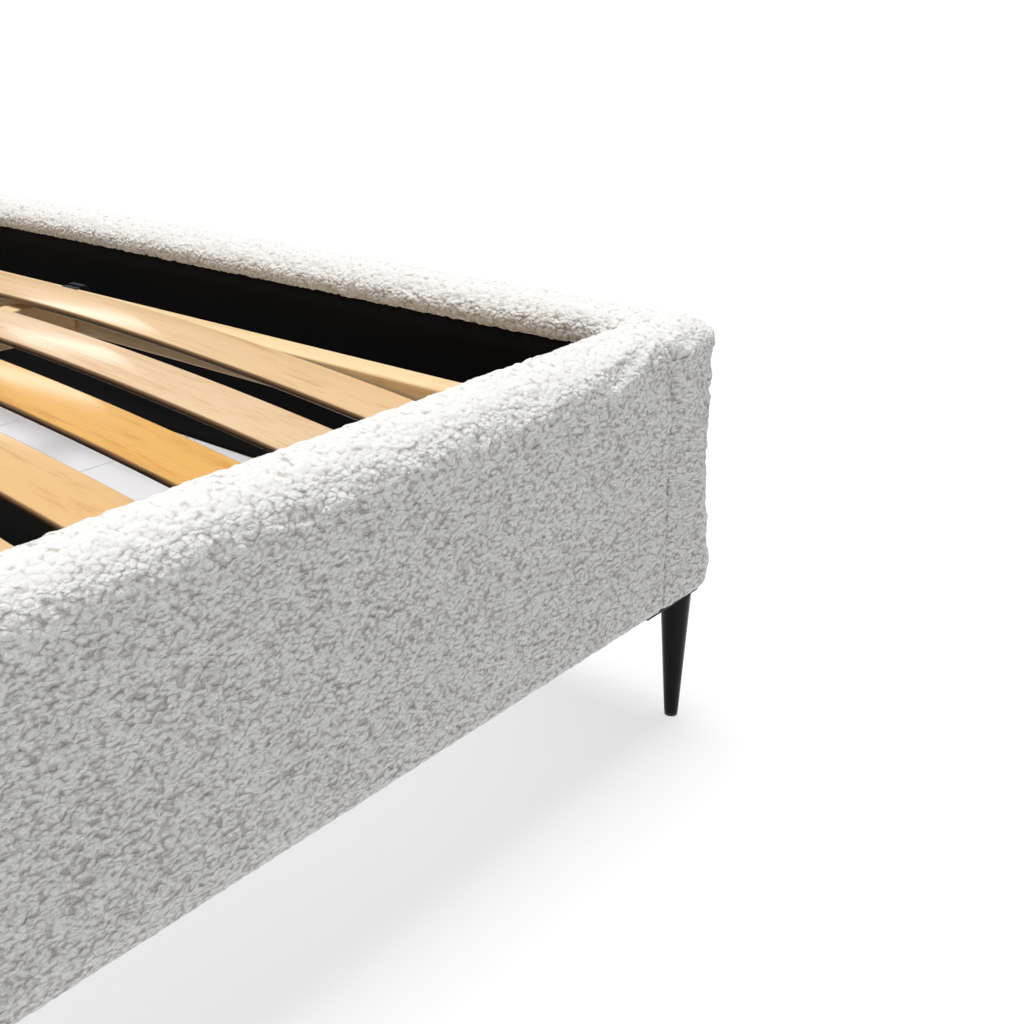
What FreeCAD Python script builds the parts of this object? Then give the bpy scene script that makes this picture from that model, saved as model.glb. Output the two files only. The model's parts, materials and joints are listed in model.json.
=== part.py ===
import FreeCAD, Part
import os
import re
import Sketcher

# A double bed with an upholstered headboard, three upholstered rails round a storage box,
# and a sprung slatted frame that hinges up from the foot end on two gas springs.
# Millimetres. +Z is up, the headboard is at +Y, the origin is on the floor under the
# middle of the whole bed. "Left" is -X, as seen from the foot end.

doc = FreeCAD.newDocument("LiftUpBed")
sheet = doc.addObject("Spreadsheet::Sheet", "Sizes")

sizes = {
    "mattress_width": 1600,        # the mattress that the bed is made for
    "mattress_length": 2000,
    "mattress_gap": 10,            # room left round the mattress
    "side_rail_thick": 60,
    "foot_rail_thick": 88,
    "rail_height": 290,
    "leg_height": 150,             # floor to the underside of the rails
    "headboard_thick": 90,
    "headboard_top": 1100,         # floor to the top of the headboard
    "headboard_corner": 60,        # rounding of the headboard's top corners
    "edge_round": 27,              # rounding of the padded top edges and the outer corners
    "bottom_round": 12,            # rounding of the padded bottom edges
    "cloth": 2,                    # cover, lining and back cloth
    "cover_wrap": 33,              # how far the cover turns down inside a rail
    "rail_board": 22,              # timber board inside a rail
    "foam_top": 3,                 # lower end of the top rounding to the board's top edge
    "post_width": 70,              # headboard frame members, seen from the front
    "post_thick": 40,
    "panel_thick": 9,              # plywood on the front of the headboard frame
    "ledge_width": 20,             # strips that carry the bottom boards
    "ledge_height": 18,
    "bottom_board": 4,
    "bottom_strip": 240,           # width of the middle bottom board
    "bottom_joint": 2,             # joint between two bottom boards
    "floor_cloth_start": 215,      # foot rail to the cloth on the bottom boards
    "batten_width": 60,
    "bar_width": 35,               # pine bars of the slatted frame
    "bar_height": 46,
    "bar_drop": 80,                # top of the rails to the top of the bars
    "frame_gap_side": 15,          # rail to slatted frame
    "frame_gap_foot": 42,
    "frame_gap_head": 40,
    "slat_width": 70,
    "slat_thick": 8,
    "slat_first": 3,               # foot crossbar to the first slat
    "slat_last": 35,               # last slat to the head crossbar
    "slat_bow": 43,                # rise of a slat's middle over its ends
    "slat_seat": 10,               # underside of the bars to the underside of a slat's end
    "slat_count": 17,
    "holder_depth": 30,            # slat holders on the side bars
    "holder_wall": 3,
    "holder_play": 5,              # height that a sloping slat end needs in its holder
    "rest_width": 28,              # strips that the slatted frame lies on
    "rest_height": 25,
    "rest_gap": 35,                # strips to the lift's base plates
    "plate": 4,                    # steel plates of the corners and the lift
    "pivot_back": 80,              # frame's head end to the lift pivot
    "pivot_drop": 22,              # underside of the bars to the lift pivot
    "pivot_radius": 5,
    "plate_margin": 30,            # base plate round the lift pivot and the lower pin
    "plate_low": 14,
    "plate_high": 20,
    "hinge_margin": 16,            # hinge plate round the lift pivot
    "hinge_low": 12,               # and under the gas spring's upper pin
    "hinge_reach": 14,             # past the upper pin at the plate's lower edge
    "hinge_reach_top": 24,         # and at its upper edge
    "hinge_top": 6,                # top of the bars to the top of the hinge plate
    "nut": 6,                      # thickness of the pivot bolt's nut
    "pin_head": 5,                 # length of the lower pin's head
    "running_gap": 0.05,           # radial clearance of a pin in its hole
    "face_gap": 0.3,               # clearance between faces that slide past each other
    "lever": 60,                   # lift pivot to the gas spring's upper pin
    "spring_reach": 340,           # lift pivot to the gas spring's lower pin, along the rail
    "spring_clear": 18,            # bottom boards to the lower pin
    "spring_radius": 11,
    "rod_radius": 4,
    "eye_radius": 8,
    "eye_width": 10,
    "spring_pin": 4,
    "spring_inset": 31,            # rail to the middle of the gas spring
    "tube_start": 20,              # lower pin to the closed end of the tube
    "tube_length": 185,
    "tube_wall": 2,
    "tube_neck": 8,
    "piston_back": 120,            # lower pin to the piston at rest
    "piston_length": 12,
    "leg_inset": 24,               # outer faces to the axis of a leg
    "leg_top_radius": 16,
    "leg_foot_radius": 7.5,
    "leg_collar": 2,               # straight rim at a leg's top
    "center_leg_radius": 15,
    "glide_rim": 0.5,              # how far a leg's edge stands out over its glide
    "glide_height": 3,
    "leg_plate_inset": 8,          # outer faces to a leg's steel plate
    "leg_plate_side": 90,
    "leg_plate_thick": 3,
    "screw_radius": 3,
    "screw_length": 20,
    "head_screw_length": 62,       # the ones that reach the headboard's frame
    "screw_head": 6,
    "screw_head_height": 2.5,
    "screw_edge": 12,              # a plate's edge to its screws
    "bracket_leg": 55,             # corner bracket, along each rail
    "bracket_height": 150,
    "bracket_up": 20,              # bottom boards to the underside of the bracket
    "strap_width": 30,             # pull strap round the foot crossbar
    "strap_side": 34,              # middle of the bed to the middle of the strap
    "strap_thick": 3,
    "strap_loop": 14,              # how far the strap's pull loop stands out
}

# Sizes worked out from the driving ones, as text for the expressions.
derived = {
    "half_width": "mattress_width / 2 + mattress_gap + side_rail_thick",
    "half_length": "(mattress_length + 2 * mattress_gap + foot_rail_thick + headboard_thick) / 2",
    "inner_half": "half_width - side_rail_thick",
    "foot_inner": "-half_length + foot_rail_thick",
    "head_front": "half_length - headboard_thick",
    "inner_length": "head_front - foot_inner",
    "rail_top": "leg_height + rail_height",
    "ledge_bottom": "leg_height + cloth",
    "floor_bottom": "ledge_bottom + ledge_height",
    "floor_top": "floor_bottom + bottom_board",
    "bar_top": "rail_top - bar_drop",
    "bar_bottom": "bar_top - bar_height",
    "frame_half": "inner_half - frame_gap_side",
    "frame_foot": "foot_inner + frame_gap_foot",
    "frame_head": "head_front - frame_gap_head",
    "bar_inner": "frame_half - bar_width",
    "slat_half": "bar_inner - holder_wall",
    "slat_end_top": "bar_bottom + slat_seat + slat_thick",
    "slat_radius": "(slat_half * slat_half + slat_bow * slat_bow) / (2 * slat_bow)",
    "slat_start": "frame_foot + bar_width + slat_first",
    "slat_room": "frame_head - frame_foot - 2 * bar_width - slat_first - slat_last - slat_width",
    "slat_pitch": "slat_room / (slat_count - 1)",
    "pivot_y": "frame_head - pivot_back",
    "pivot_z": "bar_bottom - pivot_drop",
    "spring_drop": "pivot_z - floor_top - spring_clear",
    "spring_y": "pivot_y - spring_reach",
    "spring_z": "pivot_z - spring_drop",
    "spring_closed": "hypot(spring_reach - lever; spring_drop)",
    "spring_angle": "atan2(spring_drop; spring_reach - lever)",
    "spring_x": "inner_half - spring_inset",
    "rest_start": "foot_inner + bracket_leg + 2 * ledge_width",
    "rest_length": "spring_y - plate_margin - rest_gap - rest_start",
    "leg_x": "half_width - leg_inset",
    "leg_y": "half_length - leg_inset",
    "leg_top": "leg_height - leg_plate_thick",
}

row = 1
for name, value in sizes.items():
    sheet.set("A%d" % row, name)
    sheet.set("B%d" % row, str(value))
    sheet.setAlias("B%d" % row, name)
    row += 1
doc.recompute()

kept = []       # the sub-parts, each with its node's name as its Label
nextName = [0]


def formula(text):
    """The text with each size's name turned into its cell, and each derived size opened out."""
    def swap(match):
        word = match.group(0)
        if word in derived:
            return "(" + formula(derived[word]) + ")"
        if word in sizes:
            return "Sizes." + word
        return word
    return re.sub(r"[a-z][a-z0-9_]*", swap, text)


def bind(thing, prop, text):
    thing.setExpression(prop, formula(text))


def inner(kind):
    """A new helper object with a name of its own."""
    nextName[0] += 1
    return doc.addObject(kind, "Step%03d" % nextName[0])


def keep(thing, label):
    thing.Label = label
    kept.append(thing)
    return thing


def place(thing, at):
    for axis, text in zip("xyz", at):
        bind(thing, "Placement.Base." + axis, text)


def box(at, size):
    """A box from its lowest corner and its three sides."""
    thing = inner("Part::Box")
    for prop, text in zip(("Length", "Width", "Height"), size):
        bind(thing, prop, text)
    place(thing, at)
    return thing


def cylinder(at, radius, length, along="z"):
    """A cylinder from the middle of its first face, along one axis."""
    turn = {"x": (FreeCAD.Vector(0, 1, 0), 90), "y": (FreeCAD.Vector(1, 0, 0), -90)}
    thing = inner("Part::Cylinder")
    bind(thing, "Radius", radius)
    bind(thing, "Height", length)
    if along in turn:
        thing.Placement = FreeCAD.Placement(FreeCAD.Vector(), FreeCAD.Rotation(*turn[along]))
    place(thing, at)
    return thing


def cut(base, tool):
    thing = inner("Part::Cut")
    thing.Base = base
    thing.Tool = tool
    return thing


def common(base, tool):
    thing = inner("Part::Common")
    thing.Base = base
    thing.Tool = tool
    return thing


def fuse(things):
    """One piece, or one group of separate solids, from several."""
    thing = inner("Part::MultiFuse")
    thing.Shapes = things
    return thing


def mirrored(thing):
    """The same piece on the other side of the bed."""
    other = inner("Part::Mirroring")
    other.Source = thing
    other.Base = FreeCAD.Vector(0, 0, 0)
    other.Normal = FreeCAD.Vector(1, 0, 0)
    return other


def originPlane(body, role):
    return [plane for plane in body.Origin.OriginFeatures if plane.Role == role][0]


def outline(body, role, corners):
    """A closed sketch of straight lines, each corner held by its two distances."""
    sketch = body.newObject("Sketcher::SketchObject", body.Name + "Outline")
    sketch.AttachmentSupport = [(originPlane(body, role), "")]
    sketch.MapMode = "FlatFace"
    count = len(corners)
    start = [(10.0 * i, 10.0 * (i % 3) + i * i) for i in range(count)]
    for i in range(count):
        a = FreeCAD.Vector(*start[i], 0)
        b = FreeCAD.Vector(*start[(i + 1) % count], 0)
        sketch.addGeometry(Part.LineSegment(a, b), False)
    for i in range(count):
        sketch.addConstraint(Sketcher.Constraint("Coincident", i, 2, (i + 1) % count, 1))
    for i, (across, up) in enumerate(corners):
        for kind, text in (("DistanceX", across), ("DistanceY", up)):
            number = sketch.addConstraint(Sketcher.Constraint(kind, -1, 1, i, 1, 10.0 + i))
            sketch.setExpression("Constraints[%d]" % number, formula(text))
    return sketch


def padded(role, corners, depth, at):
    """A plate or bar: an outline on a body's own plane, padded to a depth."""
    body = inner("PartDesign::Body")
    sketch = outline(body, role, corners)
    pad = body.newObject("PartDesign::Pad", body.Name + "Pad")
    pad.Profile = sketch
    bind(pad, "Length", depth)
    place(body, at)
    return body


def turned(corners, at):
    """A turned piece: a half outline (radius, height) spun round the body's Z axis."""
    body = inner("PartDesign::Body")
    sketch = outline(body, "XZ_Plane", corners)
    spin = body.newObject("PartDesign::Revolution", body.Name + "Spin")
    spin.Profile = sketch
    spin.ReferenceAxis = (sketch, ["V_Axis"])
    spin.Angle = 360
    place(body, at)
    return body


def edgesWhere(shape, test):
    """Names of the edges whose middle point and direction pass a test."""
    names = []
    for i, edge in enumerate(shape.Edges):
        if edge.Length < 0.001:
            continue
        middle = edge.valueAt((edge.FirstParameter + edge.LastParameter) / 2)
        along = edge.tangentAt((edge.FirstParameter + edge.LastParameter) / 2)
        if test(middle, along):
            names.append("Edge%d" % (i + 1))
    return names


def rounded(at, size, rounds):
    """A padded block: a box whose edges are rounded in turn, each set by its own test."""
    body = inner("PartDesign::Body")
    block = body.newObject("PartDesign::AdditiveBox", body.Name + "Block")
    for prop, text in zip(("Length", "Width", "Height"), size):
        bind(block, prop, text)
    place(body, at)
    doc.recompute()
    last = block
    for radius, test in rounds:
        fillet = body.newObject("PartDesign::Fillet", body.Name + "Round")
        fillet.Base = (last, edgesWhere(last.Shape, test))
        bind(fillet, "Radius", radius)
        doc.recompute()
        last = fillet
    return body


def low(point):
    """True near the underside of the rails, where a block's own frame starts."""
    return point.z < sizes["rail_height"] / 2


def between(first, last):
    return "(%s) - (%s)" % (last, first)


# ---------------------------------------------------------------- screws and bolts

def screw(at, direction, length="screw_length"):
    """A wood screw from the face that its head lies on: direction is +1 or -1 and an axis."""
    sign, axis = direction
    head = list(at)
    shank = list(at)
    index = "xyz".index(axis)
    if sign > 0:
        head[index] = "%s - screw_head_height" % at[index]
    else:
        shank[index] = "%s - %s" % (at[index], length)
    return [
        cylinder(head, "screw_head", "screw_head_height", axis),
        cylinder(shank, "screw_radius", length, axis),
    ]


legSpots = [(across, along) for along in (-1, 1) for across in (-1, 1)]
plateNear = "leg_plate_inset + screw_edge"
plateFar = "leg_plate_inset + leg_plate_side - screw_edge"
screws = []
for across, along in legSpots:
    for insetX, insetY in ((plateNear, plateFar), (plateFar, plateNear), (plateFar, plateFar)):
        x = "%d * (half_width - (%s))" % (across, insetX)
        y = "%d * (half_length - (%s))" % (along, insetY)
        screws.append(fuse(screw((x, y, "leg_top"), (1, "z"))))

bracketBottom = "floor_top + bracket_up"
for across in (-1, 1):
    for lift in (1, 3):
        z = "%s + %d * bracket_height / 4" % (bracketBottom, lift)
        faceX = "%d * (inner_half - plate)" % across
        for y in ("foot_inner + bracket_leg * 2 / 3", "head_front - cloth - bracket_leg * 2 / 3"):
            screws.append(fuse(screw((faceX, y, z), (across, "x"))))
        x = "%d * (inner_half - bracket_leg / 2)" % across
        screws.append(fuse(screw((x, "foot_inner + plate", z), (-1, "y"))))
        screws.append(fuse(screw((x, "head_front - cloth - plate", z), (1, "y"), "head_screw_length")))
bracketScrews = keep(fuse(screws), "bracket_screws")


# ---------------------------------------------------------------- rails

def railPieces(name, at, size, outerRounds, coreRounds, boardSpot, boardSize, windowSpot, windowSize):
    """Board, foam and cover of one rail, from its outer block inwards."""
    outer = rounded(at, size, outerRounds)
    core = rounded(
        ["(%s) + cloth" % text for text in at[:2]] + ["%s + cloth" % at[2]],
        ["(%s) - 2 * cloth" % text for text in size],
        coreRounds,
    )
    boardRoom = box(boardSpot, boardSize)
    window = box(windowSpot, windowSize)
    cover = cut(cut(outer, core), window)
    foam = cut(core, boardRoom)
    board = box(boardSpot, boardSize)
    keep(cut(cover, bracketScrews), name + "_cover")
    keep(cut(foam, bracketScrews), name + "_padding")
    keep(cut(board, bracketScrews), name + "_board")


def alongY(direction):
    return abs(direction.y) > 0.9


def alongX(direction):
    return abs(direction.x) > 0.9


def alongZ(direction):
    return abs(direction.z) > 0.9


boardTop = "rail_top - edge_round - foam_top"
boardHeight = between("ledge_bottom", boardTop)
windowTop = "rail_top - cover_wrap"


def innerRounds(rounds):
    """The same roundings for what lies under the cover."""
    return [(radius + " - cloth", test) for radius, test in rounds]


# The side rails end square against the foot rail and the headboard, so only their long
# edges are rounded, and their foam and board run from end to end.
for name, sign in (("side_rail_left", -1), ("side_rail_right", 1)):
    def outside(point):
        return (point.x - sizes["side_rail_thick"] / 2) * sign > 0

    sideRounds = [
        ("edge_round", lambda point, line: alongY(line) and not low(point)),
        ("bottom_round", lambda point, line: alongY(line) and low(point) and outside(point)),
    ]

    def fromOutside(offset, width):
        """The lowest X of something that starts an offset in from this rail's outer face."""
        if sign < 0:
            return "-half_width + %s" % offset
        return "half_width - (%s) - (%s)" % (offset, width)

    railPieces(
        name,
        (fromOutside("0", "side_rail_thick"), "foot_inner", "leg_height"),
        ("side_rail_thick", "inner_length", "rail_height"),
        sideRounds,
        innerRounds(sideRounds),
        (fromOutside("side_rail_thick - cloth - rail_board", "rail_board"), "foot_inner + cloth",
         "ledge_bottom"),
        ("rail_board", "inner_length - 2 * cloth", boardHeight),
        (fromOutside("side_rail_thick - cloth", "cloth"), "foot_inner", "ledge_bottom"),
        ("cloth", "inner_length", between("ledge_bottom", windowTop)),
    )

# The foot rail is covered round both its ends, and only its inner bottom edge and the two
# upright edges that meet the side rails are square.
def isFootRailFront(point):
    return point.y < sizes["foot_rail_thick"] / 2


footRounds = [
    ("edge_round", lambda point, line: point.z > sizes["rail_height"] * 3 / 4
     or alongZ(line) and isFootRailFront(point)),
    ("bottom_round", lambda point, line: point.z < sizes["bottom_round"] and not alongZ(line)
     and not (alongX(line) and not isFootRailFront(point))),
]
railPieces(
    "foot_rail",
    ("-half_width", "-half_length", "leg_height"),
    ("2 * half_width", "foot_rail_thick", "rail_height"),
    footRounds,
    innerRounds(footRounds),
    ("-half_width + edge_round + cloth", "foot_inner - cloth - rail_board", "ledge_bottom"),
    ("2 * (half_width - edge_round - cloth)", "rail_board", boardHeight),
    ("-inner_half", "foot_inner - cloth", "ledge_bottom"),
    ("2 * inner_half", "cloth", between("ledge_bottom", windowTop)),
)

# Black lining on the four inner walls of the storage box.
liningHeight = between("floor_top", windowTop)
linings = [
    box(("-inner_half", "foot_inner - cloth", "floor_top"), ("2 * inner_half", "cloth", liningHeight)),
    box(("-inner_half", "head_front - cloth", "floor_top"), ("2 * inner_half", "cloth", liningHeight)),
]
for x in ("-inner_half - cloth", "inner_half"):
    linings.append(box(
        (x, "foot_inner + face_gap", "floor_top"),
        ("cloth", "inner_length - cloth - 2 * face_gap", liningHeight),
    ))
keep(cut(fuse(linings), bracketScrews), "box_linings")


# ---------------------------------------------------------------- headboard

headSpot = ("-half_width", "head_front", "leg_height")
headSize = ("2 * half_width", "headboard_thick", between("leg_height", "headboard_top"))
headBlock = rounded(headSpot, headSize, [
    ("headboard_corner", lambda point, line: alongY(line) and not low(point)),
    ("edge_round", lambda point, line: not alongY(line) and (abs(line.z) < 0.9 or not low(point))
     and point.z > sizes["bottom_round"]),
])
headCore = rounded(
    ["%s + cloth" % text for text in headSpot],
    ["(%s) - 2 * cloth" % text for text in headSize],
    [
        ("headboard_corner - cloth", lambda point, line: alongY(line) and not low(point)),
        ("edge_round - cloth", lambda point, line: not alongY(line) and point.z > 1),
    ],
)

frameSide = "half_width - edge_round - cloth"
frameBack = "half_length - cloth"
frameTop = "headboard_top - headboard_corner"
frameLow = "ledge_bottom"
timberRoom = box(
    ("-(%s)" % frameSide, "%s - post_thick - panel_thick" % frameBack, frameLow),
    ("2 * (%s)" % frameSide, "post_thick + panel_thick", between(frameLow, frameTop)),
)
backWindow = box(
    ("-(%s)" % frameSide, frameBack, frameLow),
    ("2 * (%s)" % frameSide, "cloth", between(frameLow, frameTop)),
)
keep(cut(cut(cut(headBlock, headCore), backWindow), bracketScrews), "headboard_cover")
keep(cut(cut(headCore, timberRoom), bracketScrews), "headboard_padding")
keep(box(
    ("-(%s)" % frameSide, frameBack, frameLow),
    ("2 * (%s)" % frameSide, "cloth", between(frameLow, frameTop)),
), "headboard_back_cloth")
keep(cut(box(
    ("-(%s)" % frameSide, "%s - post_thick - panel_thick" % frameBack, frameLow),
    ("2 * (%s)" % frameSide, "panel_thick", between(frameLow, frameTop)),
), bracketScrews), "headboard_panel")

frameMembers = []
for x in ("-(%s)" % frameSide, "-post_width / 2", "%s - post_width" % frameSide):
    frameMembers.append(box(
        (x, "%s - post_thick" % frameBack, frameLow),
        ("post_width", "post_thick", between(frameLow, frameTop)),
    ))
memberLength = "(%s) - post_width * 3 / 2" % frameSide
for x in ("-(%s) + post_width" % frameSide, "post_width / 2"):
    for z in (frameLow, "rail_top - post_width", "%s - post_width" % frameTop):
        frameMembers.append(box(
            (x, "%s - post_thick" % frameBack, z),
            (memberLength, "post_thick", "post_width"),
        ))
frameGroup = inner("Part::Compound")
frameGroup.Links = frameMembers
keep(cut(frameGroup, bracketScrews), "headboard_frame")


# ---------------------------------------------------------------- corners and legs

def corner(across, along):
    """A steel angle on a rail and on what the rail ends against."""
    wall = "foot_inner" if along < 0 else "head_front - cloth"
    lowX = "-inner_half" if across < 0 else "inner_half - plate"
    longX = "-inner_half" if across < 0 else "inner_half - bracket_leg"
    lowY = wall if along < 0 else "%s - bracket_leg" % wall
    wallY = wall if along < 0 else "%s - plate" % wall
    return fuse([
        box((lowX, lowY, bracketBottom), ("plate", "bracket_leg", "bracket_height")),
        box((longX, wallY, bracketBottom), ("bracket_leg", "plate", "bracket_height")),
    ])


keep(cut(fuse([corner(*spot) for spot in legSpots]), bracketScrews), "corner_brackets")

legPlates = []
plateMiddle = "leg_plate_inset + leg_plate_side / 2"
for across, along in legSpots:
    x = "%d * (half_width - (%s))" % (across, plateMiddle)
    y = "%d * (half_length - (%s))" % (along, plateMiddle)
    legPlates.append(box(
        ("%s - leg_plate_side / 2" % x, "%s - leg_plate_side / 2" % y, "leg_top"),
        ("leg_plate_side", "leg_plate_side", "leg_plate_thick"),
    ))
keep(cut(fuse(legPlates), bracketScrews), "leg_plates")

legOutline = [
    ("0", "glide_height"),
    ("leg_foot_radius", "glide_height"),
    ("leg_top_radius", "leg_top - leg_collar"),
    ("leg_top_radius", "leg_top"),
    ("0", "leg_top"),
]
legNames = {(-1, -1): "leg_foot_left", (1, -1): "leg_foot_right",
            (-1, 1): "leg_head_left", (1, 1): "leg_head_right"}
glides = []
for across, along in legSpots:
    x = "%d * leg_x" % across
    y = "%d * leg_y" % along
    keep(turned(legOutline, (x, y, "0")), legNames[(across, along)])
    glides.append(cylinder((x, y, "0"), "leg_foot_radius - glide_rim", "glide_height"))

# One more leg stands under the middle batten.
keep(turned([
    ("0", "glide_height"),
    ("center_leg_radius", "glide_height"),
    ("center_leg_radius", "ledge_bottom"),
    ("0", "ledge_bottom"),
], ("0", "0", "0")), "center_leg")
glides.append(cylinder(("0", "0", "0"), "center_leg_radius - glide_rim", "glide_height"))
keep(fuse(glides), "leg_glides")


# ---------------------------------------------------------------- bottom of the storage box

ledgeInner = "inner_half - ledge_width"
supports = [
    box(("-inner_half", "foot_inner", "ledge_bottom"), ("ledge_width", "inner_length", "ledge_height")),
    box((ledgeInner, "foot_inner", "ledge_bottom"), ("ledge_width", "inner_length", "ledge_height")),
]
battenCentres = (
    "foot_inner + batten_width / 2",
    "foot_inner / 2",
    "0",
    "head_front / 2",
    "head_front - batten_width / 2",
)
for y in battenCentres:
    supports.append(box(
        ("-(%s)" % ledgeInner, "%s - batten_width / 2" % y, "ledge_bottom"),
        ("2 * (%s)" % ledgeInner, "batten_width", "ledge_height"),
    ))
bottomSupports = inner("Part::Compound")
bottomSupports.Links = supports
keep(cut(bottomSupports, bracketScrews), "bottom_supports")

sideBoardWidth = "inner_half - bottom_strip / 2 - bottom_joint"
sideBoards = []
for x in ("-inner_half", "bottom_strip / 2 + bottom_joint"):
    sideBoards.append(box(
        (x, "foot_inner", "floor_bottom"),
        (sideBoardWidth, "inner_length - cloth", "bottom_board"),
    ))
keep(fuse(sideBoards), "bottom_side_boards")
keep(box(
    ("-bottom_strip / 2", "foot_inner", "floor_bottom"),
    ("bottom_strip", "inner_length - cloth", "bottom_board"),
), "bottom_center_board")

# A black cloth lies on the boards, short of the foot rail.
keep(box(
    ("-inner_half + face_gap", "foot_inner + floor_cloth_start", "floor_top"),
    ("2 * (inner_half - face_gap)", "inner_length - floor_cloth_start - cloth - face_gap", "cloth"),
), "floor_cloth")


# ---------------------------------------------------------------- slatted frame

def frameScrew(x, y, sign):
    """A long screw along Y through a crossbar into the end of a bar, its head let in flush."""
    z = "(bar_top + bar_bottom) / 2"
    headY = y if sign > 0 else "%s - screw_head_height" % y
    shankY = y if sign > 0 else "%s - 2 * bar_width" % y
    return fuse([
        cylinder((x, headY, z), "screw_head", "screw_head_height", "y"),
        cylinder((x, shankY, z), "screw_radius", "2 * bar_width", "y"),
    ])


barCentres = ("-frame_half + bar_width / 2", "0", "frame_half - bar_width / 2")
frameScrews = []
for x in barCentres:
    frameScrews.append(frameScrew(x, "frame_foot", 1))
    frameScrews.append(frameScrew(x, "frame_head", -1))
for across in (-1, 1):
    for y in ("pivot_y - lever / 2", "pivot_y + lever / 2"):
        face = "%d * (frame_half + plate)" % across
        frameScrews.append(fuse(screw((face, y, "bar_top - bar_height / 2"), (-across, "x"))))
frameScrewGroup = keep(fuse(frameScrews), "frame_screws")

crossbarSize = ("2 * frame_half", "bar_width", "bar_height")
barLength = "frame_head - frame_foot - 2 * bar_width"
bars = {
    "frame_crossbar_foot": (("-frame_half", "frame_foot", "bar_bottom"), crossbarSize),
    "frame_crossbar_head": (("-frame_half", "frame_head - bar_width", "bar_bottom"), crossbarSize),
    "frame_side_bar_left": (("-frame_half", "frame_foot + bar_width", "bar_bottom"),
                            ("bar_width", barLength, "bar_height")),
    "frame_side_bar_right": (("bar_inner", "frame_foot + bar_width", "bar_bottom"),
                             ("bar_width", barLength, "bar_height")),
    "frame_center_beam": (("-bar_width / 2", "frame_foot + bar_width", "bar_bottom"),
                          ("bar_width", barLength, "bar_height")),
}
for name, (at, size) in bars.items():
    keep(cut(box(at, size), frameScrewGroup), name)


def slat(number):
    """A slat bent to an arch: the wall of a wide tube, cut off at both ends."""
    y = "slat_start + %d * slat_pitch" % number
    axisZ = "slat_end_top + slat_bow - slat_radius"
    outer = cylinder(("0", y, axisZ), "slat_radius", "slat_width", "y")
    hollow = cylinder(("0", y, axisZ), "slat_radius - slat_thick", "slat_width", "y")
    room = box(
        ("-(slat_half)", y, "slat_end_top - 2 * slat_thick"),
        ("2 * slat_half", "slat_width", "slat_bow + 3 * slat_thick"),
    )
    return common(cut(outer, hollow), room)


def holder(number, across):
    """A moulded pocket on a side bar that takes one slat's end."""
    y = "slat_start + %d * slat_pitch" % number
    slotHeight = "slat_thick + holder_play"
    slotBottom = "slat_end_top - slat_thick - holder_play / 5"
    lowX = "-bar_inner" if across < 0 else "bar_inner - holder_depth"
    slotX = "-bar_inner + holder_wall" if across < 0 else "bar_inner - holder_depth"
    return cut(
        box((lowX, "%s - holder_wall" % y, "%s - holder_wall" % slotBottom),
            ("holder_depth", "slat_width + 2 * holder_wall", "%s + 2 * holder_wall" % slotHeight)),
        box((slotX, y, slotBottom),
            ("holder_depth - holder_wall", "slat_width", slotHeight)),
    )


holders = []
for number in range(sizes["slat_count"]):
    keep(slat(number), "slat_%02d" % (number + 1))
    holders.append(holder(number, -1))
    holders.append(holder(number, 1))
holderGroup = inner("Part::Compound")
holderGroup.Links = holders
keep(holderGroup, "slat_holders")

# Pull strap: a band round the foot crossbar with a loop towards the foot rail.
strapOuter = box(
    ("strap_side - strap_width / 2", "frame_foot - strap_thick - strap_loop", "bar_bottom - strap_thick"),
    ("strap_width", "bar_width + 2 * strap_thick + strap_loop", "bar_height + 2 * strap_thick"),
)
strapGap = box(
    ("strap_side - strap_width / 2", "frame_foot - strap_loop", "bar_bottom"),
    ("strap_width", "strap_loop - strap_thick", "bar_height"),
)
strapBar = box(
    ("strap_side - strap_width / 2", "frame_foot", "bar_bottom"),
    ("strap_width", "bar_width", "bar_height"),
)
keep(cut(strapOuter, fuse([strapGap, strapBar])), "pull_strap")

# Strips on the side rails that the frame lies on when it is down.
keep(fuse([
    box(("-inner_half", "rest_start", "bar_bottom - rest_height"),
        ("rest_width", "rest_length", "rest_height")),
    box(("inner_half - rest_width", "rest_start", "bar_bottom - rest_height"),
        ("rest_width", "rest_length", "rest_height")),
]), "frame_rests")


# ---------------------------------------------------------------- lift mechanism, right side first

# Base plate on the rail, in its own frame from the lower pin of the gas spring.
basePlate = padded("YZ_Plane", [
    ("-plate_margin", "-plate_low"),
    ("plate_margin", "-plate_low"),
    ("spring_reach + plate_margin", "spring_drop - plate_margin"),
    ("spring_reach + plate_margin", "spring_drop + plate_high"),
    ("spring_reach - plate_margin", "spring_drop + plate_high"),
    ("-plate_margin", "plate_high"),
], "plate", ("inner_half - plate", "spring_y", "spring_z"))

# Hinge plate on the frame, in its own frame from the lift pivot.
hingeBlank = padded("YZ_Plane", [
    ("-(lever + hinge_reach)", "-hinge_low"),
    ("hinge_margin", "-hinge_margin"),
    ("lever / 2 + hinge_margin", "pivot_drop + bar_height - hinge_top"),
    ("-(lever + hinge_reach_top)", "pivot_drop + bar_height - hinge_top"),
], "plate", ("frame_half", "pivot_y", "pivot_z"))
hingeHole = cylinder(("frame_half - plate", "pivot_y", "pivot_z"), "pivot_radius + running_gap",
                     "3 * plate", "x")
hingePlate = cut(cut(hingeBlank, hingeHole), frameScrewGroup)

# Pivot bolt: a collar on the base plate, the pin through the hinge plate, and a nut.
pivotBolt = fuse([
    cylinder(("frame_half + plate + face_gap", "pivot_y", "pivot_z"), "pivot_radius * 2",
             "frame_gap_side - 2 * plate - face_gap", "x"),
    cylinder(("frame_half - face_gap - nut", "pivot_y", "pivot_z"), "pivot_radius",
             "frame_gap_side + nut - plate + face_gap", "x"),
    cylinder(("frame_half - face_gap - nut", "pivot_y", "pivot_z"), "pivot_radius * 8 / 5", "nut", "x"),
])

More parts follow.
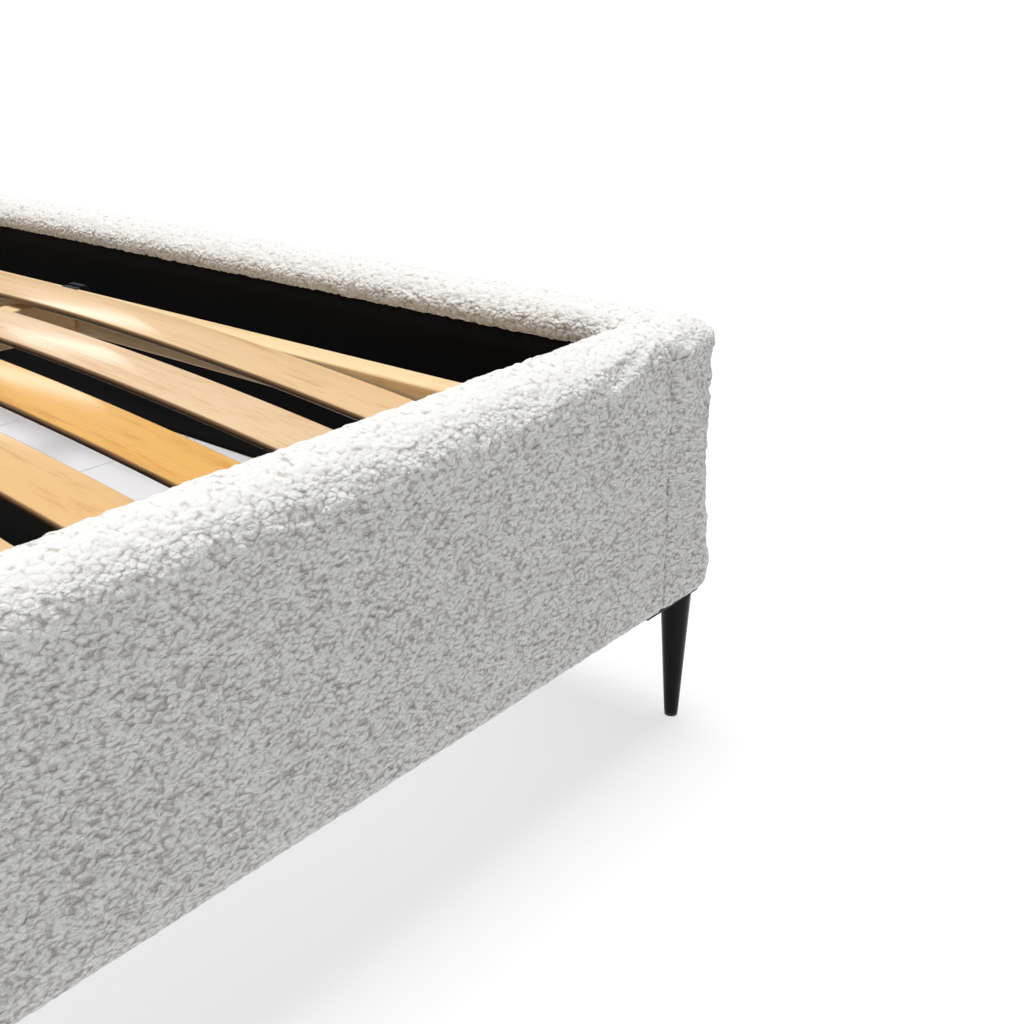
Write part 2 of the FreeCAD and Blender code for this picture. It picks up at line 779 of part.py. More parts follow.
# Lower pin of the gas spring, with a collar that sets the spring in from the rail.
springPin = fuse([
    cylinder(("spring_x + eye_width / 2 + face_gap", "spring_y", "spring_z"), "spring_pin * 7 / 4",
             "spring_inset - eye_width / 2 - plate - face_gap", "x"),
    cylinder(("spring_x - eye_width / 2 - pin_head", "spring_y", "spring_z"), "spring_pin",
             "spring_inset + eye_width / 2 + pin_head - plate", "x"),
    cylinder(("spring_x - eye_width / 2 - pin_head", "spring_y", "spring_z"), "spring_pin * 7 / 4",
             "pin_head - face_gap", "x"),
])


def tilt(body):
    """Lay a turned piece along the gas spring: from the lower pin towards the upper one."""
    body.Placement = FreeCAD.Placement(
        FreeCAD.Vector(), FreeCAD.Rotation(FreeCAD.Vector(1, 0, 0), -60))
    bind(body, "Placement.Rotation.Angle", "spring_angle - 90 deg")
    place(body, ("spring_x", "spring_y", "spring_z"))


tube = turned([
    ("0", "eye_radius - rod_radius / 2"),
    ("rod_radius", "eye_radius - rod_radius / 2"),
    ("rod_radius", "tube_start"),
    ("spring_radius", "tube_start"),
    ("spring_radius", "tube_start + tube_length"),
    ("rod_radius + running_gap", "tube_start + tube_length"),
    ("rod_radius + running_gap", "tube_start + tube_length - tube_neck"),
    ("spring_radius - tube_wall", "tube_start + tube_length - tube_neck"),
    ("spring_radius - tube_wall", "tube_start + tube_wall"),
    ("0", "tube_start + tube_wall"),
], ("0", "0", "0"))
tilt(tube)
lowerEye = cylinder(("spring_x - eye_width / 2", "spring_y", "spring_z"), "eye_radius", "eye_width", "x")
lowerHole = cylinder(("spring_x - eye_width", "spring_y", "spring_z"), "spring_pin + running_gap",
                     "2 * eye_width", "x")
gasCylinder = cut(fuse([tube, lowerEye]), lowerHole)

rod = turned([
    ("0", "piston_back"),
    ("spring_radius - tube_wall - running_gap", "piston_back"),
    ("spring_radius - tube_wall - running_gap", "piston_back + piston_length"),
    ("rod_radius", "piston_back + piston_length"),
    ("rod_radius", "spring_closed"),
    ("0", "spring_closed"),
], ("0", "0", "0"))
tilt(rod)
upperEye = cylinder(("spring_x - eye_width / 2", "pivot_y - lever", "pivot_z"), "eye_radius",
                    "eye_width", "x")
# The upper pin turns with the rod and stops just short of the hinge plate.
upperPin = cylinder(("spring_x", "pivot_y - lever", "pivot_z"), "spring_pin",
                    "frame_half - face_gap - (spring_x)", "x")
gasRod = fuse([rod, upperEye, upperPin])

keep(gasCylinder, "gas_cylinder_right")
keep(mirrored(gasCylinder), "gas_cylinder_left")
keep(gasRod, "gas_rod_right")
keep(mirrored(gasRod), "gas_rod_left")
keep(fuse([basePlate, mirrored(basePlate)]), "lift_base_plates")
keep(fuse([pivotBolt, springPin, mirrored(pivotBolt), mirrored(springPin)]), "lift_pins")
keep(fuse([hingePlate, mirrored(hingePlate)]), "frame_hinge_plates")


# ---------------------------------------------------------------- check and write

doc.recompute()
for thing in doc.Objects:
    if "Invalid" in thing.State or "Error" in thing.State:
        raise RuntimeError("%s (%s) failed: %s" % (thing.Name, thing.TypeId, thing.State))
os.makedirs("parts", exist_ok=True)
for thing in kept:
    shape = thing.Shape
    if shape.isNull() or not shape.isValid() or not shape.Solids:
        raise RuntimeError("%s has no valid solid" % thing.Label)
for thing in kept:
    thing.Shape.exportStep("parts/%s.step" % thing.Label)
print("%d nodes written" % len(kept))
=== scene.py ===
import bmesh
import bpy
import json
import math
import numpy as np
from mathutils import Matrix, Vector


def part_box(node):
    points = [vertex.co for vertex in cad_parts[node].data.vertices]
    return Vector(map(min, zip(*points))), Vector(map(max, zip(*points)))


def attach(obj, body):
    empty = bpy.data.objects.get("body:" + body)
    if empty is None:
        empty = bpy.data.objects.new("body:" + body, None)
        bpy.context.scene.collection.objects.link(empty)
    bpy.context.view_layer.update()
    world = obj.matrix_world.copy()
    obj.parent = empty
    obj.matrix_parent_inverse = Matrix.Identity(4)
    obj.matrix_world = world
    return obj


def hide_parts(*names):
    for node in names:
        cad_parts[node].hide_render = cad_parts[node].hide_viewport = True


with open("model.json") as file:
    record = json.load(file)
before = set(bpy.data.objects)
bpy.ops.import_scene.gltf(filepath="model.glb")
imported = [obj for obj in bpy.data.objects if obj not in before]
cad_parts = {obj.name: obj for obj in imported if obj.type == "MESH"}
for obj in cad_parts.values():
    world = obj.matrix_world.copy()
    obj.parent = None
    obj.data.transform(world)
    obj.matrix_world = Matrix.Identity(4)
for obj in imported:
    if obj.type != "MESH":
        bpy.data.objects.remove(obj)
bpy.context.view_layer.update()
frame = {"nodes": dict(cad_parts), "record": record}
nodes = frame["nodes"]


def mm(value):
    return value / 1000.0


def box(node):
    low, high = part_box(node)
    return np.array(low), np.array(high)


def linear(code):
    # sRGB hex to linear colour: the standard curve, channel by channel
    channels = [int(code[i:i + 2], 16) / 255.0 for i in (1, 3, 5)]
    return [c / 12.92 if c <= 0.04045 else ((c + 0.055) / 1.055) ** 2.4 for c in channels] + [1.0]


def newMesh(name, points, faces):
    # faces all have the same number of corners
    mesh = bpy.data.meshes.new(name)
    points = np.ascontiguousarray(points, dtype=np.float32).reshape(-1, 3)
    faces = np.ascontiguousarray(faces, dtype=np.int32)
    mesh.vertices.add(len(points))
    mesh.vertices.foreach_set("co", points.ravel())
    sides = faces.shape[1]
    mesh.loops.add(faces.size)
    mesh.loops.foreach_set("vertex_index", faces.ravel())
    mesh.polygons.add(len(faces))
    mesh.polygons.foreach_set("loop_start", np.arange(0, faces.size, sides, dtype=np.int32))
    mesh.polygons.foreach_set("loop_total", np.full(len(faces), sides, dtype=np.int32))
    mesh.update(calc_edges=True)
    mesh.validate()
    mesh.polygons.foreach_set("use_smooth", np.full(len(mesh.polygons), True))
    return mesh


def newPiece(name, mesh):
    piece = bpy.data.objects.new(name, mesh)
    bpy.context.scene.collection.objects.link(piece)
    return piece


def gridFaces(rows, columns, closeRows=False, closeColumns=False):
    # quads between neighbouring rows and columns of a grid of points, wrapping where it closes
    i = np.arange(rows if closeRows else rows - 1)
    j = np.arange(columns if closeColumns else columns - 1)
    a, b = np.meshgrid(i, j, indexing="ij")
    nextA, nextB = (a + 1) % rows, (b + 1) % columns
    here, below = a * columns, nextA * columns
    quads = np.stack([here + b, below + b, below + nextB, here + nextB], -1)
    return quads.reshape(-1, 4)


def getPoints(mesh):
    points = np.zeros(len(mesh.vertices) * 3, np.float32)
    mesh.vertices.foreach_get("co", points)
    return points.reshape(-1, 3).astype(float)


def setPoints(mesh, points):
    mesh.vertices.foreach_set("co", np.ascontiguousarray(points, dtype=np.float32).ravel())
    mesh.update()


def getNormals(mesh):
    normals = np.zeros(len(mesh.vertices) * 3, np.float32)
    mesh.vertices.foreach_get("normal", normals)
    return normals.reshape(-1, 3).astype(float)


def sealed(mesh, distance=1e-5):
    # merge doubles, fill open ends, then turn every face outwards
    work = bmesh.new()
    work.from_mesh(mesh)
    bmesh.ops.remove_doubles(work, verts=work.verts, dist=distance)
    bmesh.ops.holes_fill(work, edges=[edge for edge in work.edges if edge.is_boundary], sides=0)
    bmesh.ops.recalc_face_normals(work, faces=work.faces)
    work.to_mesh(mesh)
    work.free()
    mesh.polygons.foreach_set("use_smooth", np.full(len(mesh.polygons), True))
    mesh.update()
    return mesh


def edgeSteps(length, spacing, radius, arcSteps):
    # positions along one side of a block, close together where the edge turns
    turn = radius * (1 - np.cos(np.linspace(0, math.pi / 2, arcSteps + 1)))
    middle = max(int(round((length - 2 * radius) / spacing)), 1)
    flat = np.linspace(radius, length - radius, middle + 1)
    return np.concatenate([turn[:-1], flat, (length - turn[:-1])[::-1]])


def roundedBlock(low, high, radius, spacing, arcSteps=4):
    # a box whose points are pulled to a set distance from an inner box, so its edges are round
    low, high = np.array(low, float), np.array(high, float)
    size = high - low
    radius = min(radius, size.min() / 2.001)
    steps = [edgeSteps(size[i], spacing, radius, arcSteps) + low[i] for i in range(3)]
    allPoints, allFaces, count = [], [], 0
    for axis in range(3):
        first, second = [i for i in range(3) if i != axis]
        a, b = np.meshgrid(steps[first], steps[second], indexing="ij")
        for side, flip in ((low[axis], axis != 1), (high[axis], axis == 1)):
            points = np.zeros(a.shape + (3,))
            points[..., first], points[..., second], points[..., axis] = a, b, side
            quads = gridFaces(*a.shape)
            allFaces.append((quads[:, ::-1] if flip else quads) + count)
            allPoints.append(points.reshape(-1, 3))
            count += a.size
    points = np.concatenate(allPoints)
    core = np.clip(points, low + radius, high - radius)
    away = points - core
    length = np.linalg.norm(away, axis=1, keepdims=True)
    points = core + away / np.maximum(length, 1e-12) * radius
    return points, np.concatenate(allFaces)


def blockPiece(name, low, high, radius, spacing=0.1, arcSteps=4):
    points, faces = roundedBlock(low, high, radius, spacing, arcSteps)
    mesh = newMesh(name, points, faces)
    return newPiece(name, sealed(mesh))


def hashed(cells, seed):
    # a repeatable number from 0 to 1 for each whole-number cell
    mix = cells[..., 0] * 127.1 + cells[..., 1] * 311.7 + cells[..., 2] * 74.7 + seed * 19.19
    value = np.sin(mix) * 43758.5453
    return value - np.floor(value)


def smoothNoise(points, scale, seed):
    # values at the corners of cells of one size, blended smoothly in between, from -1 to 1
    spot = points / scale
    cell = np.floor(spot)
    part = spot - cell
    part = part * part * (3 - 2 * part)
    total = np.zeros(len(points))
    for dx in (0, 1):
        for dy in (0, 1):
            for dz in (0, 1):
                weight = (part[:, 0] if dx else 1 - part[:, 0]) * (part[:, 1] if dy else 1 - part[:, 1])
                weight = weight * (part[:, 2] if dz else 1 - part[:, 2])
                total += weight * hashed(cell + [dx, dy, dz], seed)
    return total * 2 - 1


def curlNoise(points, scale, seed):
    # rounded knobs: 1 at the middle of a random dot in each cell, falling to 0 between the dots
    spot = points / scale
    cell = np.floor(spot)
    nearest = np.full(len(points), 9.0)
    for dx in (-1, 0, 1):
        for dy in (-1, 0, 1):
            for dz in (-1, 0, 1):
                other = cell + [dx, dy, dz]
                dot = other + np.stack([hashed(other, seed + k) for k in (1, 2, 3)], -1)
                nearest = np.minimum(nearest, ((spot - dot) ** 2).sum(1))
    return np.sqrt(np.clip(1 - nearest, 0, 1))


def addNode(tree, kind, links=None, **settings):
    # one node: settings are its properties or, by input name, its values; links are (input, socket)
    node = tree.nodes.new(kind)
    for key, value in settings.items():
        if hasattr(node, key):
            setattr(node, key, value)
        else:
            node.inputs[key.replace("_", " ")].default_value = value
    for key, socket in (links or {}).items():
        tree.links.new(socket, node.inputs[key])
    return node


# Every material reads Object coordinates; a pattern's scale is its real size in millimetres.
def startMaterial(name, roughness, metallic=0.0, **shader):
    material = bpy.data.materials.new(name)
    material.use_nodes = True
    tree = material.node_tree
    tree.nodes.clear()
    out = tree.nodes.new("ShaderNodeOutputMaterial")
    surface = addNode(tree, "ShaderNodeBsdfPrincipled")
    surface.inputs["Roughness"].default_value = roughness
    surface.inputs["Metallic"].default_value = metallic
    for key, value in shader.items():
        surface.inputs[key.replace("_", " ")].default_value = value
    tree.links.new(surface.outputs[0], out.inputs[0])
    place = tree.nodes.new("ShaderNodeTexCoord").outputs["Object"]
    return material, tree, surface, place


def colourRamp(tree, factor, stops):
    node = tree.nodes.new("ShaderNodeValToRGB")
    ramp = node.color_ramp
    while len(ramp.elements) < len(stops):
        ramp.elements.new(0.5)
    for element, (spot, code) in zip(ramp.elements, stops):
        element.position = spot
        element.color = linear(code)
    tree.links.new(factor, node.inputs[0])
    return node.outputs[0]


def wear(material, piece):
    piece.data.materials.clear()
    piece.data.materials.append(material)


boucle = {
    "tip": "#dfdedb",
    "paintedPitShade": "#bbb7b1",       # painted shade in the hollows between the knobs
    "knobMm": 4.7,
    "curlMm": 3.0,
    "fibreMm": 1.3,
    "warpMm": 4.0,          # how far the knobs are pushed out of their places
    "warpStepMm": 11.0,
    "flatten": 1.3,         # knobs are this much wider than they are high
    "bumpMm": 2.3,
}


def makeBoucle():
    # Boucle: wool yarn looped into small round knobs. It gives the eye a matt off-white field of soft
    # bumps, each bright on top and shaded below. Height is a rounded knob, less the square of the
    # distance from its middle, plus slow curls and loose fibres.
    material, tree, surface, place = startMaterial(
        "boucle wool off-white", 0.95, Sheen_Weight=0.2, Sheen_Roughness=0.7)
    surface.inputs["Specular IOR Level"].default_value = 0.1
    stretch = addNode(tree, "ShaderNodeMapping", {"Vector": place})
    stretch.inputs["Scale"].default_value = (1, 1, boucle["flatten"])
    drift = addNode(tree, "ShaderNodeTexNoise", {"Vector": stretch.outputs[0]}, Detail=1.0)
    drift.inputs["Scale"].default_value = 1 / mm(boucle["warpStepMm"])
    warped = addNode(tree, "ShaderNodeVectorMath", {0: drift.outputs["Color"], 2: stretch.outputs[0]},
                     operation="MULTIPLY_ADD")
    warped.inputs[1].default_value = (mm(boucle["warpMm"]),) * 3
    knobs = addNode(tree, "ShaderNodeTexVoronoi", {"Vector": warped.outputs[0]}, feature="SMOOTH_F1")
    knobs.inputs["Scale"].default_value = 1 / mm(boucle["knobMm"])
    knobs.inputs["Smoothness"].default_value = 0.35
    squared = addNode(tree, "ShaderNodeMath", {0: knobs.outputs["Distance"]}, operation="POWER")
    squared.inputs[1].default_value = 2.0
    curls = addNode(tree, "ShaderNodeTexNoise", {"Vector": warped.outputs[0]}, Detail=1.5, Roughness=0.5,
                    Distortion=0.5)
    curls.inputs["Scale"].default_value = 1 / mm(boucle["curlMm"])
    fibres = addNode(tree, "ShaderNodeTexNoise", {"Vector": place}, Detail=2.0, Roughness=0.6)
    fibres.inputs["Scale"].default_value = 1 / mm(boucle["fibreMm"])
    lower = addNode(tree, "ShaderNodeMath", {0: squared.outputs[0], 2: curls.outputs["Fac"]},
                    operation="MULTIPLY_ADD")
    lower.inputs[1].default_value = -1.5
    height = addNode(tree, "ShaderNodeMath", {0: fibres.outputs["Fac"], 2: lower.outputs[0]},
                     operation="MULTIPLY_ADD")
    height.inputs[1].default_value = 0.22
    curl = addNode(tree, "ShaderNodeAttribute", attribute_name="curl")
    depth = addNode(tree, "ShaderNodeMath", {0: curl.outputs["Fac"], 2: height.outputs[0]},
                    operation="MULTIPLY_ADD")
    depth.inputs[1].default_value = 0.5
    # the tops are brushed smooth by bedding and hands, and their colour is painted paler there: painted
    # light on the upward faces
    brushedAndPaintedLight = addNode(tree, "ShaderNodeAttribute", attribute_name="brushedAndPaintedLight")
    paintedLightAndShade = addNode(tree, "ShaderNodeMath", {0: brushedAndPaintedLight.outputs["Fac"], 2: depth.outputs[0]},
                     operation="MULTIPLY_ADD")
    paintedLightAndShade.inputs[1].default_value = 0.5
    standing = addNode(tree, "ShaderNodeMath", {1: brushedAndPaintedLight.outputs["Fac"]}, operation="SUBTRACT")
    standing.inputs[0].default_value = 1.0
    nap = addNode(tree, "ShaderNodeMath", {0: height.outputs[0], 1: standing.outputs[0]},
                  operation="MULTIPLY")
    # the colour ramp paints the low hollows between the knobs in the darker colour: painted shade
    shade = colourRamp(tree, paintedLightAndShade.outputs[0], [(0.0, boucle["paintedPitShade"]), (0.6, boucle["tip"])])
    tree.links.new(shade, surface.inputs["Base Color"])
    bump = addNode(tree, "ShaderNodeBump", {"Height": nap.outputs[0]}, Strength=1.0)
    bump.inputs["Distance"].default_value = mm(boucle["bumpMm"])
    tree.links.new(bump.outputs[0], surface.inputs["Normal"])
    return material


def makeWood(name, pale, dark, grainMm, along, roughness, coat=0.0, bump=0.25, golden=None, rim=None):
    # straight-grained wood: bands across the board, drawn out along it, with fine dark pores;
    # golden is a second pair of colours that the tone attribute brings in, rim the cut edges' colour
    material, tree, surface, place = startMaterial(name, roughness, Coat_Weight=coat, Coat_Roughness=0.14)
    stretch = [1.0, 1.0, 1.0]
    stretch[along] = 0.04
    laid = addNode(tree, "ShaderNodeMapping", {"Vector": place})
    laid.inputs["Scale"].default_value = stretch
    slow = addNode(tree, "ShaderNodeTexNoise", {"Vector": laid.outputs[0]}, Detail=3.0)
    slow.inputs["Scale"].default_value = 1 / mm(grainMm * 5)
    slow.inputs["Distortion"].default_value = 0.8
    fine = addNode(tree, "ShaderNodeTexNoise", {"Vector": laid.outputs[0]}, Detail=6.0, Roughness=0.7)
    fine.inputs["Scale"].default_value = 1 / mm(grainMm)
    mixed = addNode(tree, "ShaderNodeMath", {0: slow.outputs["Fac"], 1: fine.outputs["Fac"]},
                    operation="ADD")
    share = addNode(tree, "ShaderNodeMath", {0: mixed.outputs[0]}, operation="MULTIPLY")
    share.inputs[1].default_value = 0.5
    base = colourRamp(tree, share.outputs[0], [(0.36, dark), (0.5, pale), (0.6, pale)])
    for key, colours in (("tone", golden), ("rim", rim)):
        if colours:
            stops = [(0.36, colours[1]), (0.5, colours[0]), (0.6, colours[0])]
            other = colourRamp(tree, share.outputs[0], stops)
            amount = addNode(tree, "ShaderNodeAttribute", attribute_name=key)
            blend = addNode(tree, "ShaderNodeMix", {0: amount.outputs["Fac"], 6: base, 7: other},
                            data_type="RGBA")
            base = blend.outputs[2]
    tree.links.new(base, surface.inputs["Base Color"])
    bumpNode = addNode(tree, "ShaderNodeBump", {"Height": fine.outputs["Fac"]}, Strength=bump)
    bumpNode.inputs["Distance"].default_value = mm(0.3)
    tree.links.new(bumpNode.outputs[0], surface.inputs["Normal"])
    return material


def makePowder(name, colour, roughness, coat):
    # powder coat: a hard gloss film with a faint orange peel
    material, tree, surface, place = startMaterial(name, roughness, Coat_Weight=coat, Coat_Roughness=0.06)
    peel = addNode(tree, "ShaderNodeTexNoise", {"Vector": place}, Scale=1 / mm(2.5), Detail=2.0)
    surface.inputs["Specular IOR Level"].default_value = 0.15
    code = colourRamp(tree, peel.outputs["Fac"], [(0.3, colour[0]), (0.7, colour[1])])
    tree.links.new(code, surface.inputs["Base Color"])
    bump = addNode(tree, "ShaderNodeBump", {"Height": peel.outputs["Fac"]}, Strength=0.05)
    bump.inputs["Distance"].default_value = mm(0.2)
    tree.links.new(bump.outputs[0], surface.inputs["Normal"])
    return material


def makeMetal(name, colour, roughness, spotMm=3.0):
    # plated metal: a mirror dulled in patches, in colour and in roughness
    material, tree, surface, place = startMaterial(name, roughness, metallic=1.0)
    haze = addNode(tree, "ShaderNodeTexNoise", {"Vector": place}, Scale=1 / mm(spotMm), Detail=4.0)
    code = colourRamp(tree, haze.outputs["Fac"], [(0.35, colour[0]), (0.65, colour[1])])
    tree.links.new(code, surface.inputs["Base Color"])
    rough = addNode(tree, "ShaderNodeMapRange", {"Value": haze.outputs["Fac"]})
    rough.inputs["To Min"].default_value = roughness * 0.8
    rough.inputs["To Max"].default_value = roughness * 1.3
    tree.links.new(rough.outputs[0], surface.inputs["Roughness"])
    return material


def makeCloth(name, colour, threadMm, roughness, bump=0.6, sheen=0.12):
    # spun or woven cloth: crossed fibres, one thread's width apart
    material, tree, surface, place = startMaterial(name, roughness, Sheen_Weight=sheen)
    surface.inputs["Specular IOR Level"].default_value = 0.15
    fibres = addNode(tree, "ShaderNodeTexNoise", {"Vector": place}, Detail=5.0, Roughness=0.75)
    fibres.inputs["Scale"].default_value = 1 / mm(threadMm)
    code = colourRamp(tree, fibres.outputs["Fac"], [(0.3, colour[0]), (0.7, colour[1])])
    tree.links.new(code, surface.inputs["Base Color"])
    bumpNode = addNode(tree, "ShaderNodeBump", {"Height": fibres.outputs["Fac"]}, Strength=bump)
    bumpNode.inputs["Distance"].default_value = mm(0.4)
    tree.links.new(bumpNode.outputs[0], surface.inputs["Normal"])
    return material


def makePlastic(name, colour, roughness, grainMm=0.6):
    # moulded plastic or melamine: one even colour with a very fine moulded grain
    material, tree, surface, place = startMaterial(name, roughness)
    grain = addNode(tree, "ShaderNodeTexNoise", {"Vector": place}, Scale=1 / mm(grainMm), Detail=2.0)
    code = colourRamp(tree, grain.outputs["Fac"], [(0.3, colour[0]), (0.7, colour[1])])
    tree.links.new(code, surface.inputs["Base Color"])
    bump = addNode(tree, "ShaderNodeBump", {"Height": grain.outputs["Fac"]}, Strength=0.15)
    bump.inputs["Distance"].default_value = mm(0.1)
    tree.links.new(bump.outputs[0], surface.inputs["Normal"])
    return material


print("materials")
boucleWool = makeBoucle()
# rotary-cut veneer under clear lacquer: pale bands along the slat, a wet highlight over its crown
lacqueredBirch = makeWood("lacquered birch veneer", "#d6b790", "#c6a072", 3.0, 0, 0.5, coat=0.35, bump=0.06,
                          golden=("#d4a04c", "#c48a36"), rim=("#80603e", "#5a4228"))
# planed and left bare: clear yellow grain, dull
barePine = makeWood("planed pine", "#e3c79a", "#c99f66", 5.0, 1, 0.55)
barePineAcross = makeWood("planed pine across", "#e3c79a", "#c99f66", 5.0, 0, 0.55)
# rough from the saw: darker, no shine, never seen from outside
sawnTimber = makeWood("sawn spruce", "#d8bb8a", "#b98f5a", 6.0, 0, 0.75, bump=0.5)
# sprayed powder, baked: the legs carry a sharp narrow reflection, the plates a broad dull one
glossBlack = makePowder("gloss black powder coat", ("#010101", "#030303"), 0.12, 0.0)
satinBlack = makePowder("satin black powder coat", ("#121213", "#1a1a1b"), 0.45, 0.1)
# dull bluish plating on brackets and screws, a bright rod on the gas springs
zincPlate = makeMetal("zinc plated steel", ("#b9b8b0", "#d2d2ce"), 0.32)
polishedChrome = makeMetal("chromed rod", ("#d8dadc", "#e6e7e9"), 0.08)
# spun-bonded lining: it swallows light; strap: dark blue-grey threads that show where they turn, their
# paler blue-grey partly painted sheen on black webbing
blackCloth = makeCloth("black spun lining", ("#000000", "#060606"), 0.9, 0.95, sheen=0.0)
webbing = makeCloth("black woven strap", ("#1a1f23", "#36404a"), 1.2, 0.8)
foamCut = makeCloth("cut foam", ("#d9cfa8", "#e8dfbd"), 1.5, 0.95)
# moulded slat holders and glides; boards with a smooth white facing
blackPlastic = makePlastic("black polypropylene", ("#101011", "#19191a"), 0.45)
whiteBoard = makePlastic("white laminated fibreboard", ("#eef0f6", "#f4f5fa"), 0.4, 2.0)

slotMaterials = {
    "boucle": boucleWool, "foam": foamCut, "black_lining": blackCloth, "beech_slat": lacqueredBirch,
    "pine": barePine, "raw_timber": sawnTimber, "plywood": sawnTimber, "white_board": whiteBoard,
    "holder_plastic": blackPlastic, "glide_plastic": blackPlastic, "black_leg": glossBlack,
    "black_plate": satinBlack, "zinc_steel": zincPlate, "black_tube": glossBlack,
    "chrome_rod": polishedChrome, "black_webbing": webbing,
}
slotOf = {row["node"]: row["material_slot"] for row in frame["record"]["subparts"]}
for name, thing in nodes.items():
    wear(slotMaterials[slotOf[name]], thing)


def finishPiece(piece, material, body, node=None):
    wear(material, piece)
    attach(piece, body)
    if node:
        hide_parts(node)
    return piece


padding = {
    "pressure": 4.0,
    "steps": 20,
    "edgeMm": 27.0,         # rounding of the top edges and the outer corners
    "headCornerMm": 60.0,   # the headboard's two top corners
    "bottomMm": 12.0,
    "cornerMm": 13.0,       # rounding of the foot rail's upright corners
    "proudMm": 1.0,         # how far the foot rail's filling stands out
    "seamMm": 1.0,          # rounding where two covers are sewn up against each other
    "sewnMm": 5.0,          # how far a side rail's cover is pressed against what it meets
    "wrapMm": 33.0,         # the cover turns this far down inside a rail
    "insideMm": 8.0,        # what lies under the lining stays this far back from it
    "curlMm": 9.0,          # spacing of the wool curls
    "curlHeightMm": 3.2,
    "fuzzMm": 4.6,          # spacing of the loose fibres that roughen the outline
    "fuzzHeightMm": 1.3,
    "lumpMm": 24.0,         # uneven patches in the pile
    "lumpHeightMm": 0.9,
    "brushedAndPaintedLight": 0.72,        # how much flatter the pile lies on top than on the upright faces, and how far its colour there is painted paler as painted light
    "puckerMm": 1.6,        # depth of the folds drawn in beside a seam
}


def ramp(values, start, end):
    # 0 before start, 1 after end, smooth in between
    part = np.clip((values - start) / (end - start), 0, 1)
    return part * part * (3 - 2 * part)


def easedIn(distance, radius):
    # how far a quarter-round edge has pulled a face in, at a distance from the end of a piece
    left = np.clip(radius - distance, 0, radius)
    return radius - np.sqrt(np.maximum(radius * radius - left * left, 0))


def railSection(width, height, outside, top, bottom, inside, hollow):
    # one closed section of a rail, from its inner foot round the outside and over the top: points
    # (across from the outer face, up), each face moved in by its own amount
    edge, low = mm(padding["edgeMm"]), mm(padding["bottomMm"])
    turn = np.linspace(0, math.pi / 2, 9)
    across, up = np.cos(turn), np.sin(turn)
    outerRadius = max(edge - max(outside, top), 0.001)
    innerRadius = max(edge - max(inside, top), 0.001)
    lowRadius = max(low - max(outside, bottom), 0.001)
    left, right, roof, foot = outside, width - inside, height - top, bottom
    back = right - hollow
    wrap = height - mm(padding["wrapMm"])
    points = np.concatenate([
        [[back, foot]],
        np.stack([left + lowRadius * (1 - up), foot + lowRadius * (1 - across)], 1),
        np.stack([left + outerRadius * (1 - across), roof - outerRadius * (1 - up)], 1),
        np.stack([right - innerRadius * (1 - up), roof - innerRadius * (1 - across)], 1),
        [[right, wrap], [back, wrap - 0.001]],
    ])
    return points


def sweptRail(name, low, high, along, outerSide, ends):
    # the section carried along a rail, its faces drawn in towards both ends by quarter rounds
    length = high[along] - low[along]
    across = 1 - along
    width, height = high[across] - low[across], high[2] - low[2]
    reach = mm(padding["edgeMm"])
    bend = reach * (1 - np.cos(np.linspace(0, math.pi / 2, 9)))
    spots = np.concatenate([bend, np.linspace(reach, length - reach, 40)[1:-1], length - bend[::-1]])
    rows = []
    for spot in spots:
        near = min(spot, length - spot)
        outside, inside = easedIn(near, mm(ends["outerMm"])), easedIn(near, mm(ends["innerMm"]))
        top = easedIn(near, mm(ends["topMm"]))
        bottom = easedIn(near, mm(padding["bottomMm"]) * ends["foot"])
        rows.append(railSection(width, height, outside, top, bottom, inside, mm(padding["insideMm"])))
    section = np.array(rows)
    points = np.zeros(section.shape[:2] + (3,))
    points[..., along] = low[along] + spots[:, None]
    away = section[..., 0]
    points[..., across] = low[across] + away if outerSide < 0 else high[across] - away
    points[..., 2] = low[2] + section[..., 1]
    count = section.shape[1]
    faces = gridFaces(len(spots), count, closeColumns=True)
    return closedPiece(name, points, faces)


def closedPiece(name, points, faces):
    return newPiece(name, sealed(newMesh(name, points, faces)))


def applied(piece):
    mesh = bpy.data.meshes.new_from_object(piece.evaluated_get(bpy.context.evaluated_depsgraph_get()))
    piece.modifiers.clear()
    piece.data = mesh


def remeshed(piece, voxel):
    change = piece.modifiers.new("Remesh", "REMESH")
    change.mode = "VOXEL"
    change.voxel_size = voxel
    applied(piece)


def subdivided(piece):
    change = piece.modifiers.new("Subdivision", "SUBSURF")
    change.levels = 1
    change.render_levels = 1
    applied(piece)


def simulatePad(piece, held, capMm):
    # the cover is blown up a little from inside while its stapled and sewn places are held,
    # and no point moves further than the cap
    start = getPoints(piece.data)
    group = piece.vertex_groups.new(name="held")
    hold = held(start)
    for level in (0.25, 0.5, 0.75, 1.0):
        chosen = np.nonzero((hold > level - 0.125) & (hold <= level + 0.125))[0]
        group.add(chosen.tolist(), level, "REPLACE")
    cloth = piece.modifiers.new("Cloth", "CLOTH")
    settings = cloth.settings
    settings.quality = 3
    settings.use_pressure = True
    settings.uniform_pressure_force = padding["pressure"]
    settings.effector_weights.gravity = 0
    settings.vertex_group_mass = "held"
    settings.tension_stiffness = 25
    settings.compression_stiffness = 25
    settings.shear_stiffness = 12
    settings.bending_stiffness = 4
    cloth.collision_settings.use_collision = False
    cloth.collision_settings.use_self_collision = False
    cloth.point_cache.frame_start = 1
    cloth.point_cache.frame_end = padding["steps"]
    scene = bpy.context.scene
    for step in range(1, padding["steps"] + 1):
        scene.frame_set(step)
    end = getPoints(piece.evaluated_get(bpy.context.evaluated_depsgraph_get()).data)
    piece.modifiers.clear()
    piece.vertex_groups.clear()
    scene.frame_set(1)
    move = end - start
    length = np.linalg.norm(move, axis=1, keepdims=True)
    cap = mm(capMm)
    move *= cap * np.tanh(length / cap) / np.maximum(length, 1e-9)
    setPoints(piece.data, start + move)
    print("  blown up: mean %.1f mm, most %.1f mm" % (length.mean() * 1000, length.max() * 1000))


